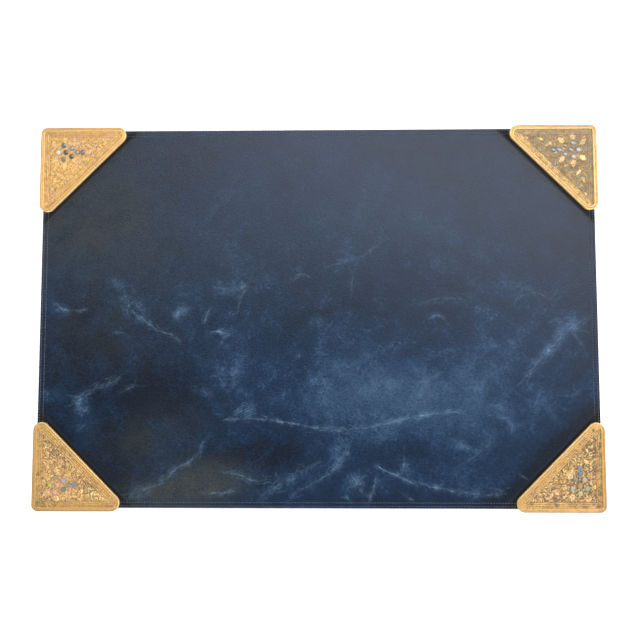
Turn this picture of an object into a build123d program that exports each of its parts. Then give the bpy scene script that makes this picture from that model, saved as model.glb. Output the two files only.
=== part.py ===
from build123d import *
import os
from math import cos, radians, sin, sqrt, tan

# Desk mat: a laminated, stitched leather pad with a slip-on cast corner at each of its four
# corners. Millimetres. +X runs to the right, +Y to the rear and +Z up. The origin lies on the
# surface that the mat rests on, under the middle of the pad.

# Pad
PAD_LENGTH = 610.0
PAD_DEPTH = 415.0
PAD_CORNER_R = 9.0
LEATHER_T = 1.6
BOARD_T = 1.4
BACKING_T = 1.0

# Stitching: two rows all round, each with an upper and a lower thread
ROW_INSETS = {"outer": 2.2, "inner": 6.0}
THREAD_W = 0.6
THREAD_T = 0.4
THREAD_GAP = 0.1  # groove wall to thread
THREAD_SINK = 0.05  # thread below the face of its sheet

# Corner outline: a right-angled triangle with rounded points
CORNER_LEG = 108.0  # sharp square point to sharp tip
SQUARE_R = 7.0
TIP_R = 9.0
LEAST_R = 0.8  # on lines that follow the outline well inside it

# Corner walls and plates
SIDE_WALL = 2.7
SIDE_GAP = 0.6  # wall to pad edge
LAYER_GAP = 0.3  # plate to pad face, above and below
BACK_PLATE_T = 1.0
GROUND_T = 1.6  # metal under the relief's ground
RIM_RISE = 1.0
RIM_W = 4.7
EDGE_R = 1.1
GROOVE_INSET = 2.1
GROOVE_W = 0.6
GROOVE_DEPTH = 0.35

# Border ridges inside the rim
RIDGE_COUNT = 3
RIDGE_PITCH = 2.1
RIDGE_W = 0.9
RIDGE_RISE = 0.45
RIM_TO_RIDGE = 0.5

# Shell discs: a rosette of six and a tail of two, each glued in a collared seat
ROSETTE_INSET = 28.0  # from both outer faces to the middle disc
RING_COUNT = 5
RING_GAP = 2.6  # middle disc to each ring disc
TAIL_COUNT = 2
TAIL_GAP = 0.7  # from the ring's last pair to the tail, and between the tail's discs
DISC_D = 5.5
DISC_T = 1.1
DISC_EDGE_R = 0.4
DISC_GAP = 0.05  # disc to seat wall
SEAT_SINK = 0.4  # seat floor below the relief's ground
COLLAR_W = 0.7
COLLAR_RISE = 0.5

# Petals round the rosette, in pairs either side of the tail
PETAL_TURNS = (44, 96, 144)
PETAL_GAP = 4.7  # edge of a ring disc to the middle of a petal
PETAL_L = 5.6
PETAL_W = 4.4
PETAL_RISE = 0.6

# Rivets that hold each back plate to the side walls
RIVETS_PER_LEG = 3
RIVET_MARGIN = 7.0  # from the end of a straight side
RIVET_SHANK_R = 0.7
RIVET_HEAD_R = 1.0
RIVET_HEAD_T = 0.4
RIVET_GRIP = 2.4  # shank inside the wall

# Which way each corner faces: its place in X and Y, its turn, and the way its tail runs before
# that turn
CORNERS = {
    "front_left": (-1, -1, 0, 0),
    "front_right": (1, -1, 90, 0),
    "rear_right": (1, 1, 180, 0),
    "rear_left": (-1, 1, 270, 90),
}

# Levels and places worked out from the sizes above
PAD_Z = BACK_PLATE_T + LAYER_GAP
BOARD_Z = PAD_Z + BACKING_T
LEATHER_Z = BOARD_Z + BOARD_T
PAD_TOP = LEATHER_Z + LEATHER_T
POCKET_TOP = PAD_TOP + LAYER_GAP
GROUND_Z = POCKET_TOP + GROUND_T
RIM_Z = GROUND_Z + RIM_RISE
OVERHANG = SIDE_WALL + SIDE_GAP
RING_R = DISC_D + RING_GAP
RING_HALF_STEP = 180 / RING_COUNT
PETAL_R = RING_R + DISC_D / 2 + PETAL_GAP
GROOVE_FOR_THREAD_W = THREAD_W + 2 * THREAD_GAP
GROOVE_FOR_THREAD_T = THREAD_T + THREAD_SINK


def slab(outline, low, high):
    """An outline made solid from one level up to another."""
    return extrude(Pos(0, 0, low) * outline, high - low)


def frame(outer, inner, low, high):
    """The space between two outlines, made solid."""
    return slab(outer, low, high) - slab(inner, low, high)


# ---- pad ----


def pad_outline(inset):
    """The pad's outline, moved in by inset."""
    radius = max(PAD_CORNER_R - inset, LEAST_R)
    return RectangleRounded(PAD_LENGTH - 2 * inset, PAD_DEPTH - 2 * inset, radius)


def row_band(inset, width, low, high):
    """A closed band round the pad that follows one stitch row."""
    return frame(pad_outline(inset - width / 2), pad_outline(inset + width / 2), low, high)


def sheet(low, thickness):
    """One full-size layer of the pad."""
    return slab(pad_outline(0), low, low + thickness)


def leather_top():
    """The leather face, with a groove pressed in along each stitch row."""
    leather = sheet(LEATHER_Z, LEATHER_T)
    for inset in ROW_INSETS.values():
        leather -= row_band(inset, GROOVE_FOR_THREAD_W, PAD_TOP - GROOVE_FOR_THREAD_T, PAD_TOP)
    return leather


def backing_sheet():
    """The sheet underneath, with the same grooves on its lower face."""
    backing = sheet(PAD_Z, BACKING_T)
    for inset in ROW_INSETS.values():
        backing -= row_band(inset, GROOVE_FOR_THREAD_W, PAD_Z, PAD_Z + GROOVE_FOR_THREAD_T)
    return backing


def needle_thread(inset):
    """The thread seen on the leather, lying on the floor of its groove."""
    floor = PAD_TOP - GROOVE_FOR_THREAD_T
    return row_band(inset, THREAD_W, floor, floor + THREAD_T)


def bobbin_thread(inset):
    """The thread on the underside, against the roof of its groove."""
    roof = PAD_Z + GROOVE_FOR_THREAD_T
    return row_band(inset, THREAD_W, roof - THREAD_T, roof)


# ---- corner, drawn with its square point at the origin and its legs along +X and +Y ----


def corner_outline(inset):
    """The corner's outline, moved in by inset."""
    reach = CORNER_LEG - inset * (1 + sqrt(2))
    triangle = Polygon((inset, inset), (reach, inset), (inset, reach), align=None)
    tips = triangle.vertices().sort_by_distance((0, 0))[1:]
    with_tips = fillet(tips, max(TIP_R - inset, LEAST_R))
    square = with_tips.vertices().sort_by_distance((0, 0))[0]
    return fillet(square, max(SQUARE_R - inset, LEAST_R))


def corner_band(inset, width, low, high):
    """A closed band that follows the corner's outline, from inset inwards."""
    return frame(corner_outline(inset), corner_outline(inset + width), low, high)


def disc_places(tail_turn):
    """The centres of a corner's eight discs, with the tail along tail_turn degrees."""
    tail_root = RING_R * cos(radians(RING_HALF_STEP))
    tail_pitch = DISC_D + TAIL_GAP
    polar = [(0, 0)]
    polar += [(RING_R, RING_HALF_STEP * (2 * step + 1)) for step in range(RING_COUNT)]
    polar += [(tail_root + tail_pitch * (step + 1), 0) for step in range(TAIL_COUNT)]
    places = []
    for distance, angle in polar:
        turn = radians(angle + tail_turn)
        x = ROSETTE_INSET + distance * cos(turn)
        y = ROSETTE_INSET + distance * sin(turn)
        places.append((x, y))
    return places


def petals(tail_turn):
    """The six petals, each a pointed oval that points away from the rosette's middle."""
    half_l, half_w = PETAL_L / 2, PETAL_W / 2
    one_edge = ThreePointArc((-half_l, 0), (0, half_w), (half_l, 0))
    other_edge = ThreePointArc((half_l, 0), (0, -half_w), (-half_l, 0))
    petal = slab(make_face([one_edge, other_edge]), GROUND_Z, GROUND_Z + PETAL_RISE)
    middle = Pos(ROSETTE_INSET, ROSETTE_INSET) * Rot(0, 0, tail_turn)
    turns = [side * turn for turn in PETAL_TURNS for side in (1, -1)]
    return [middle * Rot(0, 0, turn) * Pos(PETAL_R, 0) * petal for turn in turns]


def rivet_places():
    """The centres of a corner's rivets, down the middle of each side wall."""
    first = SQUARE_R + RIVET_MARGIN
    last = CORNER_LEG - TIP_R / tan(radians(22.5)) - RIVET_MARGIN
    step = (last - first) / (RIVETS_PER_LEG - 1)
    stations = [first + step * index for index in range(RIVETS_PER_LEG)]
    middle = SIDE_WALL / 2
    return [(s, middle) for s in stations] + [(middle, s) for s in stations]


def upright(places, radius, low, high):
    """A round post at each place."""
    return [slab(Pos(x, y) * Circle(radius), low, high) for x, y in places]


def cover(tail_turn):
    """The cast cover: rim, recessed ground, ridges, petals, disc seats and side walls."""
    blank = slab(corner_outline(0), BACK_PLATE_T, RIM_Z)
    body = fillet(blank.edges().group_by(Axis.Z)[-1], EDGE_R)
    pocket_side = CORNER_LEG - SIDE_WALL
    pocket = Pos(SIDE_WALL, SIDE_WALL) * Rectangle(pocket_side, pocket_side, align=Align.MIN)
    body -= slab(pocket, BACK_PLATE_T, POCKET_TOP)
    body -= slab(corner_outline(RIM_W), GROUND_Z, RIM_Z)
    body -= corner_band(GROOVE_INSET, GROOVE_W, RIM_Z - GROOVE_DEPTH, RIM_Z)
    for ridge in range(RIDGE_COUNT):
        inset = RIM_W + RIM_TO_RIDGE + ridge * RIDGE_PITCH
        body += corner_band(inset, RIDGE_W, GROUND_Z, GROUND_Z + RIDGE_RISE)
    body += petals(tail_turn)
    places = disc_places(tail_turn)
    seat_r = DISC_D / 2 + DISC_GAP
    body += upright(places, seat_r + COLLAR_W, GROUND_Z, GROUND_Z + COLLAR_RISE)
    body -= upright(places, seat_r, GROUND_Z - SEAT_SINK, RIM_Z)
    body -= upright(rivet_places(), RIVET_SHANK_R, BACK_PLATE_T, BACK_PLATE_T + RIVET_GRIP)
    return body


def rivets():
    """The rivets, with countersunk heads flush with the underside."""
    shank_top = BACK_PLATE_T + RIVET_GRIP
    head = loft([Circle(RIVET_HEAD_R), Pos(0, 0, RIVET_HEAD_T) * Circle(RIVET_SHANK_R)])
    rivet = head + slab(Circle(RIVET_SHANK_R), RIVET_HEAD_T, shank_top)
    return [Pos(x, y) * rivet for x, y in rivet_places()]


def back_plate():
    """The flat plate under the pad, holed for the rivets."""
    return slab(corner_outline(0), 0, BACK_PLATE_T) - rivets()


def shell_discs(tail_turn):
    """The discs, each standing on the floor of its seat."""
    floor = GROUND_Z - SEAT_SINK
    blank = slab(Circle(DISC_D / 2), floor, floor + DISC_T)
    disc = fillet(blank.edges().group_by(Axis.Z)[-1], DISC_EDGE_R)
    return [Pos(x, y) * disc for x, y in disc_places(tail_turn)]


# ---- the whole mat ----


def pad_nodes():
    """The pad's layers and threads, by node name."""
    nodes = {
        "leather_top": leather_top(),
        "stiffener_board": sheet(BOARD_Z, BOARD_T),
        "backing_sheet": backing_sheet(),
    }
    for row, inset in ROW_INSETS.items():
        nodes[f"needle_thread_{row}"] = needle_thread(inset)
        nodes[f"bobbin_thread_{row}"] = bobbin_thread(inset)
    return nodes


def corner_nodes(name, side_x, side_y, turn, tail_turn):
    """One corner's pieces in their place, by node name."""
    x = side_x * (PAD_LENGTH / 2 + OVERHANG)
    y = side_y * (PAD_DEPTH / 2 + OVERHANG)
    place = Pos(x, y, 0) * Rot(0, 0, turn)
    return {
        f"{name}_cover": place * cover(tail_turn),
        f"{name}_back_plate": place * back_plate(),
        f"{name}_shell_discs": Compound([(place * disc).solid() for disc in shell_discs(tail_turn)]),
        f"{name}_rivets": Compound([(place * rivet).solid() for rivet in rivets()]),
    }


def main():
    """Writes one STEP file for each node."""
    os.makedirs("parts", exist_ok=True)
    nodes = pad_nodes()
    for name, layout in CORNERS.items():
        nodes.update(corner_nodes(name, *layout))
    for name, shape in nodes.items():
        export_step(shape, f"parts/{name}.step")


main()
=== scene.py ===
"""The visible pieces of a desk mat with four slip-on cast corners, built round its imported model.

A stitched navy leather pad is held in four bronze corners. Each corner carries cast ornament and a
rosette of shell discs. Sizes are in millimetres until a mesh is made, and +Y is the rear.
"""

from __future__ import annotations

import logging
import math
from dataclasses import dataclass, field, replace
from enum import Enum
from typing import Iterable, Mapping, Sequence

import bmesh
import bpy
import numpy as np
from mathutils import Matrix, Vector, noise
from mathutils.geometry import delaunay_2d_cdt

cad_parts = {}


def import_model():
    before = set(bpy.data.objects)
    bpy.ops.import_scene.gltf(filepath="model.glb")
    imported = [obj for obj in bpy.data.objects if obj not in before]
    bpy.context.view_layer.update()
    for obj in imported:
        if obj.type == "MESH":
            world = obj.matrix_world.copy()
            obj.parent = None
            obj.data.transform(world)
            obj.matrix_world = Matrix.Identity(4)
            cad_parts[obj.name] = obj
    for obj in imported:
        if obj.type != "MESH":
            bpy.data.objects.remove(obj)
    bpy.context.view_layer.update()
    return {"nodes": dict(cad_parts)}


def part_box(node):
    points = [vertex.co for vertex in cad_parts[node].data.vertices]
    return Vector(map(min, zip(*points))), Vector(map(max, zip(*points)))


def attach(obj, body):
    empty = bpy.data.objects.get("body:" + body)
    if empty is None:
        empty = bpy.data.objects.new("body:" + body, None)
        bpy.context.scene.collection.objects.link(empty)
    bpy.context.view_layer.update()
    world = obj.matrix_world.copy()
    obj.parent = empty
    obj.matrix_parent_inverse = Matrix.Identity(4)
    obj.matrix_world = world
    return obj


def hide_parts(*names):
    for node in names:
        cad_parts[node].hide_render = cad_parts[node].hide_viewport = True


LOG = logging.getLogger("desk_mat")
MM = 0.001
ROW_RATIO = 0.866
Point = tuple[float, float]
Colour = tuple[float, float, float]
Marks = dict[str, list[np.ndarray]]
Socket = bpy.types.NodeSocket
Input = float | int | str | tuple | Socket | bpy.types.Material


# ---------------------------------------------------------------------------------------------
# Node trees and meshes
# ---------------------------------------------------------------------------------------------


class Nodes:
    """Adds nodes to one shader or geometry tree and wires them up."""

    def __init__(self, tree: bpy.types.NodeTree) -> None:
        """Takes the tree to add to."""
        self.tree = tree

    def add(
        self, kind: str, inputs: Mapping[str | int, Input] | None = None, **settings: object
    ) -> bpy.types.Node:
        """Adds one node.

        Args:
            kind: The node's type.
            inputs: What each input is set to, or the socket that feeds it.
            **settings: Properties of the node, set before its inputs.

        Returns:
            The new node.
        """
        node = self.tree.nodes.new(kind)
        for name, value in settings.items():
            setattr(node, name, value)
        for key, value in (inputs or {}).items():
            self.feed(node.inputs[key], value)
        return node

    def feed(self, socket: Socket, value: Input) -> None:
        """Links a socket to another, or sets its own value."""
        if isinstance(value, Socket):
            self.tree.links.new(value, socket)
        else:
            socket.default_value = value

    def math(self, operation: str, *values: Input) -> Socket:
        """Returns the result of one Math node."""
        return self.add("ShaderNodeMath", dict(enumerate(values)), operation=operation).outputs[0]

    def noise(self, where: Input, scale: float, detail: float = 3, rough: float = 0.5) -> Socket:
        """Returns a noise value, where scale is features per metre."""
        inputs = {"Vector": where, "Scale": scale, "Detail": detail, "Roughness": rough}
        return self.add("ShaderNodeTexNoise", inputs).outputs["Fac"]

    def blend(self, factor: Input, first: Input, second: Input) -> Socket:
        """Returns a mix of two colours."""
        inputs = {0: factor, 6: first, 7: second}
        return self.add("ShaderNodeMix", inputs, data_type="RGBA").outputs[2]

    def between(
        self, value: Input, low: float, high: float, out_low: float = 0, out_high: float = 1
    ) -> Socket:
        """Returns a value taken from one range to another, with smooth ends."""
        inputs = {0: value, 1: low, 2: high, 3: out_low, 4: out_high}
        node = self.add("ShaderNodeMapRange", inputs, interpolation_type="SMOOTHSTEP")
        return node.outputs[0]

    def mark(self, name: str, output: str = "Fac") -> Socket:
        """Returns one of the piece's own attributes, as a value or as a colour."""
        return self.add("ShaderNodeAttribute", attribute_name=name).outputs[output]

    def mapped(self, scale: Sequence[float], turn: float = 0.0) -> Socket:
        """Returns Object coordinates, stretched and turned about the vertical."""
        where = self.add("ShaderNodeTexCoord").outputs["Object"]
        inputs = {"Vector": where, "Scale": tuple(scale), "Rotation": (0, 0, turn)}
        return self.add("ShaderNodeMapping", inputs).outputs[0]

    def bump(self, height: Input, depth: float, normal: Input | None = None) -> Socket:
        """Returns a normal raised by a height, where depth is its full rise in metres."""
        inputs = {"Height": height, "Distance": depth, "Strength": 1.0}
        if normal is not None:
            inputs["Normal"] = normal
        return self.add("ShaderNodeBump", inputs).outputs[0]


def rgba(colour: Colour) -> tuple[float, float, float, float]:
    """Returns a colour with full alpha."""
    return (*colour, 1.0)


def new_material(name: str, viewport: Colour) -> tuple[bpy.types.Material, Nodes, bpy.types.ShaderNode]:
    """Starts a material.

    Args:
        name: The finish's name.
        viewport: Its plain colour in the viewport.

    Returns:
        The material, its nodes, and its shader node, which is already linked.
    """
    material = bpy.data.materials.new(name)
    material.use_nodes = True
    material.diffuse_color = rgba(viewport)
    material.node_tree.nodes.clear()
    nodes = Nodes(material.node_tree)
    shader = nodes.add("ShaderNodeBsdfPrincipled")
    nodes.add("ShaderNodeOutputMaterial", {"Surface": shader.outputs[0]})
    return material, nodes, shader


@dataclass
class Shell:
    """The points, faces and attributes of a mesh that is being put together, in millimetres."""

    points: list[np.ndarray] = field(default_factory=list)
    faces: list[tuple[int, ...]] = field(default_factory=list)
    count: int = 0

    def add_points(self, points: np.ndarray) -> np.ndarray:
        """Adds points and returns their indices."""
        self.points.append(np.asarray(points, float).reshape(-1, 3))
        first, self.count = self.count, self.count + len(self.points[-1])
        return np.arange(first, self.count)

    def add_band(self, outer: Sequence[int], inner: Sequence[int]) -> None:
        """Joins two closed rings that run anticlockwise, seen from outside the band."""
        for here in range(len(outer)):
            after = (here + 1) % len(outer)
            self.faces.append((outer[here], outer[after], inner[after], inner[here]))

    def fill(self, ring: np.ndarray, inner: np.ndarray) -> None:
        """Fills a closed ring with triangles that meet at the points inside it.

        Args:
            ring: The indices of the ring's points, in order.
            inner: The indices of the points inside it.
        """
        where = np.concatenate([ring, inner])
        plane = [Vector(point) for point in np.concatenate(self.points)[where, :2]]
        edges = [(i, (i + 1) % len(ring)) for i in range(len(ring))]
        _, _, faces, origins, _, _ = delaunay_2d_cdt(plane, edges, [], 1, 1e-5)
        sources = [where[found[0]] for found in origins]
        self.faces += [tuple(sources[i] for i in face) for face in faces]

    def piece(
        self,
        name: str,
        material: bpy.types.Material,
        attributes: Mapping[str, np.ndarray] | None = None,
        sharp_over: float = 38.0,
    ) -> bpy.types.Object:
        """Makes the mesh object, at the origin and in metres.

        Args:
            name: The piece's name.
            material: Its finish.
            attributes: Values or colours for each point.
            sharp_over: The angle between faces, in degrees, past which an edge is sharp.

        Returns:
            The object, linked to the scene.
        """
        mesh = bpy.data.meshes.new(name)
        mesh.from_pydata((np.concatenate(self.points) * MM).tolist(), [], self.faces)
        for key, values in (attributes or {}).items():
            is_colour = values.ndim == 2
            kind, slot = ("FLOAT_COLOR", "color") if is_colour else ("FLOAT", "value")
            layer = mesh.attributes.new(key, kind, "POINT")
            layer.data.foreach_set(slot, values.astype(np.float32).ravel())
        mesh.shade_smooth()
        mesh.set_sharp_from_angle(angle=math.radians(sharp_over))
        mesh.materials.append(material)
        made = bpy.data.objects.new(name, mesh)
        bpy.context.scene.collection.objects.link(made)
        return made


def finish_piece(piece: bpy.types.Object, body: str, nodes: Iterable[str] = ()) -> None:
    """Gives a piece its body and hides the CAD nodes that it stands for."""
    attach(piece, body)
    stands_for = list(nodes)
    if stands_for:
        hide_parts(*stands_for)
    LOG.info("%s: %d faces on body %s", piece.name, len(piece.data.polygons), body)


def unit(values: np.ndarray) -> np.ndarray:
    """Returns vectors at length one."""
    return values / np.maximum(np.linalg.norm(values, axis=-1, keepdims=True), 1e-12)


def unit_circle(steps: int) -> np.ndarray:
    """Returns the points of a circle of radius 1, anticlockwise."""
    turn = np.arange(steps) * math.tau / steps
    return np.stack([np.cos(turn), np.sin(turn)], axis=1)


def smooth(value: np.ndarray, low: float, high: float) -> np.ndarray:
    """Returns 0 below low, 1 above high, and a smooth step between."""
    t = np.clip((value - low) / (high - low), 0, 1)
    return t * t * (3 - 2 * t)


def cloud(points: np.ndarray, size: float, seed: float = 0.0, octaves: int = 3) -> np.ndarray:
    """Returns fractal noise at points in a plane, about -1 to 1, with features of that size."""
    scaled = points[:, :2] / size
    return np.array([noise.fractal(Vector((x, y, seed)), 0.6, 2.0, octaves) for x, y in scaled])


def nearest(points: np.ndarray, others: np.ndarray) -> np.ndarray:
    """Returns each point's distance to the nearest of a few others."""
    return np.sqrt(((points[:, None] - others[None]) ** 2).sum(axis=2)).min(axis=1)


def distance_to_line(points: np.ndarray, line: np.ndarray) -> np.ndarray:
    """Returns each point's distance to an open line of straight runs."""
    best = np.full(len(points), 1e9)
    for start, end in zip(line[:-1], line[1:]):
        run = end - start
        along = np.clip(((points - start) @ run) / max(run @ run, 1e-12), 0, 1)
        best = np.minimum(best, np.linalg.norm(points - start - along[:, None] * run, axis=1))
    return best


def curve_through(points: Sequence[Point], step: float) -> np.ndarray:
    """Returns points evenly spaced along a smooth curve through a few others.

    Args:
        points: Where the curve goes.
        step: The spacing wanted.

    Returns:
        The points of the curve, with both ends kept.
    """
    line = np.array(points, float)
    padded = np.vstack([2 * line[0] - line[1], line, 2 * line[-1] - line[-2]])
    found = [line[:1]]
    for before, start, end, after in zip(padded, padded[1:], padded[2:], padded[3:]):
        t = np.linspace(0, 1, max(2, math.ceil(np.linalg.norm(end - start) / step)) + 1)[1:, None]
        bend = 2 * start + (end - before) * t
        bend += (2 * before - 5 * start + 4 * end - after) * t**2
        bend += (3 * start - before - 3 * end + after) * t**3
        found.append(bend / 2)
    return np.vstack(found)


# ---------------------------------------------------------------------------------------------
# Finishes
# ---------------------------------------------------------------------------------------------


@dataclass(frozen=True)
class LeatherFinish:
    """Waxed pull-up leather: it pales where it was creased, and darkens under its painted shade."""

    deep: Colour = (0.0042, 0.0090, 0.0200)
    open: Colour = (0.0095, 0.0385, 0.0980)
    pulled: Colour = (0.185, 0.305, 0.440)
    olive: Colour = (0.050, 0.056, 0.049)
    black: Colour = (0.0022, 0.0026, 0.0040)
    gloss: float = 0.33
    openness: float = 0.34

    def lace(self, nodes: Nodes, where: Input, scale: float, wide: float = 0.14) -> Socket:
        """Returns a net of fine wandering lines, where scale is cells per metre and wide is in cells."""
        wander = nodes.add("ShaderNodeTexNoise", {"Vector": where, "Scale": scale * 0.8, "Detail": 3.0})
        pushed = {0: wander.outputs["Color"], "Scale": 2.1 / scale}
        moved = nodes.add("ShaderNodeVectorMath", pushed, operation="SCALE").outputs[0]
        moved = nodes.add("ShaderNodeVectorMath", {0: where, 1: moved}).outputs[0]
        inputs = {"Vector": moved, "Scale": scale}
        cells = nodes.add("ShaderNodeTexVoronoi", inputs, feature="DISTANCE_TO_EDGE")
        return nodes.between(cells.outputs["Distance"], 0.0, wide, 1.0, 0.0)

    def ground(self, nodes: Nodes, where: Input, grain: Input) -> Socket:
        """Returns the leather's colour before its creases, from how far each place has opened up."""
        drift = nodes.noise(where, 8, 5, 0.62)
        patches = nodes.noise(where, 48, 6, 0.70)
        openness = nodes.math("ADD", nodes.mark("glow"), self.openness)
        openness = nodes.math("ADD", openness, nodes.between(drift, 0.34, 0.68, -0.12, 0.14))
        openness = nodes.math("ADD", openness, nodes.between(grain, 0.3, 0.7, -0.13, 0.13))
        opened = nodes.between(patches, 0.34, 0.72, -0.12, 0.15)
        webbed_at = nodes.between(patches, 0.44, 0.66, 0.0, 0.17)
        webbed = nodes.math("MULTIPLY", self.lace(nodes, where, 120.0), webbed_at)
        opened = nodes.math("ADD", opened, webbed)
        veined_at = nodes.between(patches, 0.46, 0.60, 0.0, 0.26)
        veined = nodes.math("MULTIPLY", self.lace(nodes, where, 44.0, 0.055), veined_at)
        lively = nodes.math("MULTIPLY_ADD", nodes.mark("calm"), -0.62, 1.0)
        opened = nodes.math("MULTIPLY", nodes.math("ADD", opened, veined), lively)
        openness = nodes.math("ADD", openness, opened)
        # Painted shade: the shade mark darkens the leather, most beside the corners.
        openness = nodes.math("SUBTRACT", openness, nodes.mark("shade"))
        openness = nodes.math("MAXIMUM", openness, 0.0)
        dyed = nodes.blend(nodes.math("MINIMUM", openness, 1.0), rgba(self.deep), rgba(self.open))
        waxy = nodes.between(openness, 0.45, 1.75, 0.0, 0.30)
        return nodes.blend(waxy, dyed, rgba(self.pulled))

    def pale(self, nodes: Nodes, where: Input) -> Socket:
        """Returns how pale the pulled-up wax is: creases broken into strands, and lace round them."""
        strands = nodes.between(nodes.noise(where, 330, 4, 0.7), 0.36, 0.64, 0.28, 1.15)
        haze = nodes.between(nodes.noise(where, 95, 5, 0.7), 0.38, 0.70)
        lace = nodes.math("MULTIPLY_ADD", self.lace(nodes, where, 190.0), 0.60, 0.20)
        lace = nodes.math("MULTIPLY", lace, haze)
        lines = nodes.math("MULTIPLY", nodes.mark("crease"), strands)
        found = nodes.math("MULTIPLY_ADD", nodes.mark("bloom"), lace, lines)
        return nodes.math("MINIMUM", found, 1.0)

    def material(self) -> bpy.types.Material:
        """Returns the leather, which reads the marks that LeatherFace gives its points."""
        made, nodes, shader = new_material("navy_pull_up_leather", self.open)
        where = nodes.mapped((1, 1, 1))
        grain = nodes.noise(nodes.mapped((0.62, 1, 1), 0.3), 620, 3, 0.65)
        fine = nodes.noise(where, 1500, 2)
        rubbed = nodes.between(grain, 0.3, 0.7, -0.2, 0.2)
        scuffed = nodes.math("MULTIPLY_ADD", nodes.noise(where, 42, 6, 0.7), 1.5, rubbed)
        scuffed = nodes.between(scuffed, 0.40, 1.00, 0.50, 1.10)
        olive_at = nodes.math("MULTIPLY", nodes.mark("olive"), scuffed)
        surface = self.ground(nodes, where, grain)
        surface = nodes.blend(nodes.math("MINIMUM", olive_at, 1.0), surface, rgba(self.olive))
        pale = self.pale(nodes, where)
        surface = nodes.blend(pale, surface, rgba(self.pulled))
        surface = nodes.blend(nodes.between(fine, 0.3, 0.8, 0.25, 0.0), surface, rgba(self.deep))
        # Black for the edge paint, the painted shade in the stitch holes and the painted shadow beside the
        # corners.
        dark = nodes.math("MAXIMUM", nodes.mark("pierce"), nodes.mark("edge"))
        nodes.feed(shader.inputs["Base Color"], nodes.blend(dark, surface, rgba(self.black)))
        rough = nodes.between(grain, 0.25, 0.75, 0.34, 0.42)
        rough = nodes.math("MULTIPLY_ADD", pale, 0.12, rough)
        nodes.feed(shader.inputs["Roughness"], nodes.math("MULTIPLY_ADD", dark, 0.45, rough))
        shader.inputs["Specular IOR Level"].default_value = self.gloss
        pebble = nodes.add("ShaderNodeTexVoronoi", {"Vector": where, "Scale": 900.0}, feature="SMOOTH_F1")
        height = nodes.math("MULTIPLY_ADD", fine, 0.6, pebble.outputs["Distance"])
        height = nodes.math("MULTIPLY_ADD", grain, 1.2, height)
        nodes.feed(shader.inputs["Normal"], nodes.bump(height, 0.00010))
        return made


@dataclass(frozen=True)
class NapFinish:
    """The split underside of the pad, with a short nap."""

    dark: Colour = (0.010, 0.014, 0.024)
    light: Colour = (0.030, 0.040, 0.062)

    def material(self) -> bpy.types.Material:
        """Returns the napped split."""
        made, nodes, shader = new_material("napped_split", self.light)
        where = nodes.mapped((1, 1, 1))
        fibres = nodes.noise(nodes.mapped((1, 0.35, 1), 0.5), 1900, 3, 0.7)
        stroke = nodes.noise(where, 26, 4, 0.6)
        stroked = nodes.between(stroke, 0.25, 0.7, 0.35, 1)
        mix = nodes.math("MULTIPLY", nodes.between(fibres, 0.25, 0.75), stroked)
        nodes.feed(shader.inputs["Base Color"], nodes.blend(mix, rgba(self.dark), rgba(self.light)))
        shader.inputs["Roughness"].default_value = 0.95
        shader.inputs["Sheen Weight"].default_value = 0.25
        nodes.feed(shader.inputs["Normal"], nodes.bump(fibres, 0.00016))
        return made


@dataclass(frozen=True)
class BoardFinish:
    """The stiffener's cut edge, sealed with dark edge paint over a fibrous board."""

    paint: Colour = (0.009, 0.012, 0.019)
    fibre: Colour = (0.045, 0.041, 0.037)

    def material(self) -> bpy.types.Material:
        """Returns the painted board."""
        made, nodes, shader = new_material("edge_painted_board", self.paint)
        where = nodes.mapped((1, 1, 6))
        layers = nodes.noise(where, 260, 4, 0.65)
        wear_and_shade = nodes.between(nodes.noise(nodes.mapped((1, 1, 1)), 70, 5, 0.7), 0.55, 0.75)
        wear_and_shade = nodes.math("MULTIPLY", wear_and_shade, nodes.between(layers, 0.4, 0.7))
        nodes.feed(shader.inputs["Base Color"], nodes.blend(wear_and_shade, rgba(self.paint), rgba(self.fibre)))
        nodes.feed(shader.inputs["Roughness"], nodes.between(layers, 0.3, 0.7, 0.42, 0.75))
        nodes.feed(shader.inputs["Normal"], nodes.bump(layers, 0.00012))
        return made


@dataclass(frozen=True)
class ThreadFinish:
    """Waxed twisted thread."""

    dark: Colour = (0.030, 0.037, 0.054)
    light: Colour = (0.165, 0.190, 0.250)

    def material(self) -> bpy.types.Material:
        """Returns the thread, with its plies running aslant."""
        made, nodes, shader = new_material("waxed_thread", self.light)
        inputs = {"Vector": nodes.mapped((1, 1, 1)), "Scale": 900.0, "Distortion": 1.2, "Detail": 1.0}
        plies = nodes.add("ShaderNodeTexWave", inputs, bands_direction="DIAGONAL").outputs["Fac"]
        wear = nodes.noise(nodes.mapped((1, 1, 1)), 60, 4)
        wear_and_shade = nodes.between(wear, 0.3, 0.7, 0.6, 1)
        mix = nodes.math("MULTIPLY", nodes.between(plies, 0.1, 0.8, 0.35, 1), wear_and_shade)
        nodes.feed(shader.inputs["Base Color"], nodes.blend(mix, rgba(self.dark), rgba(self.light)))
        shader.inputs["Roughness"].default_value = 0.48
        nodes.feed(shader.inputs["Normal"], nodes.bump(plies, 0.00008))
        return made


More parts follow.
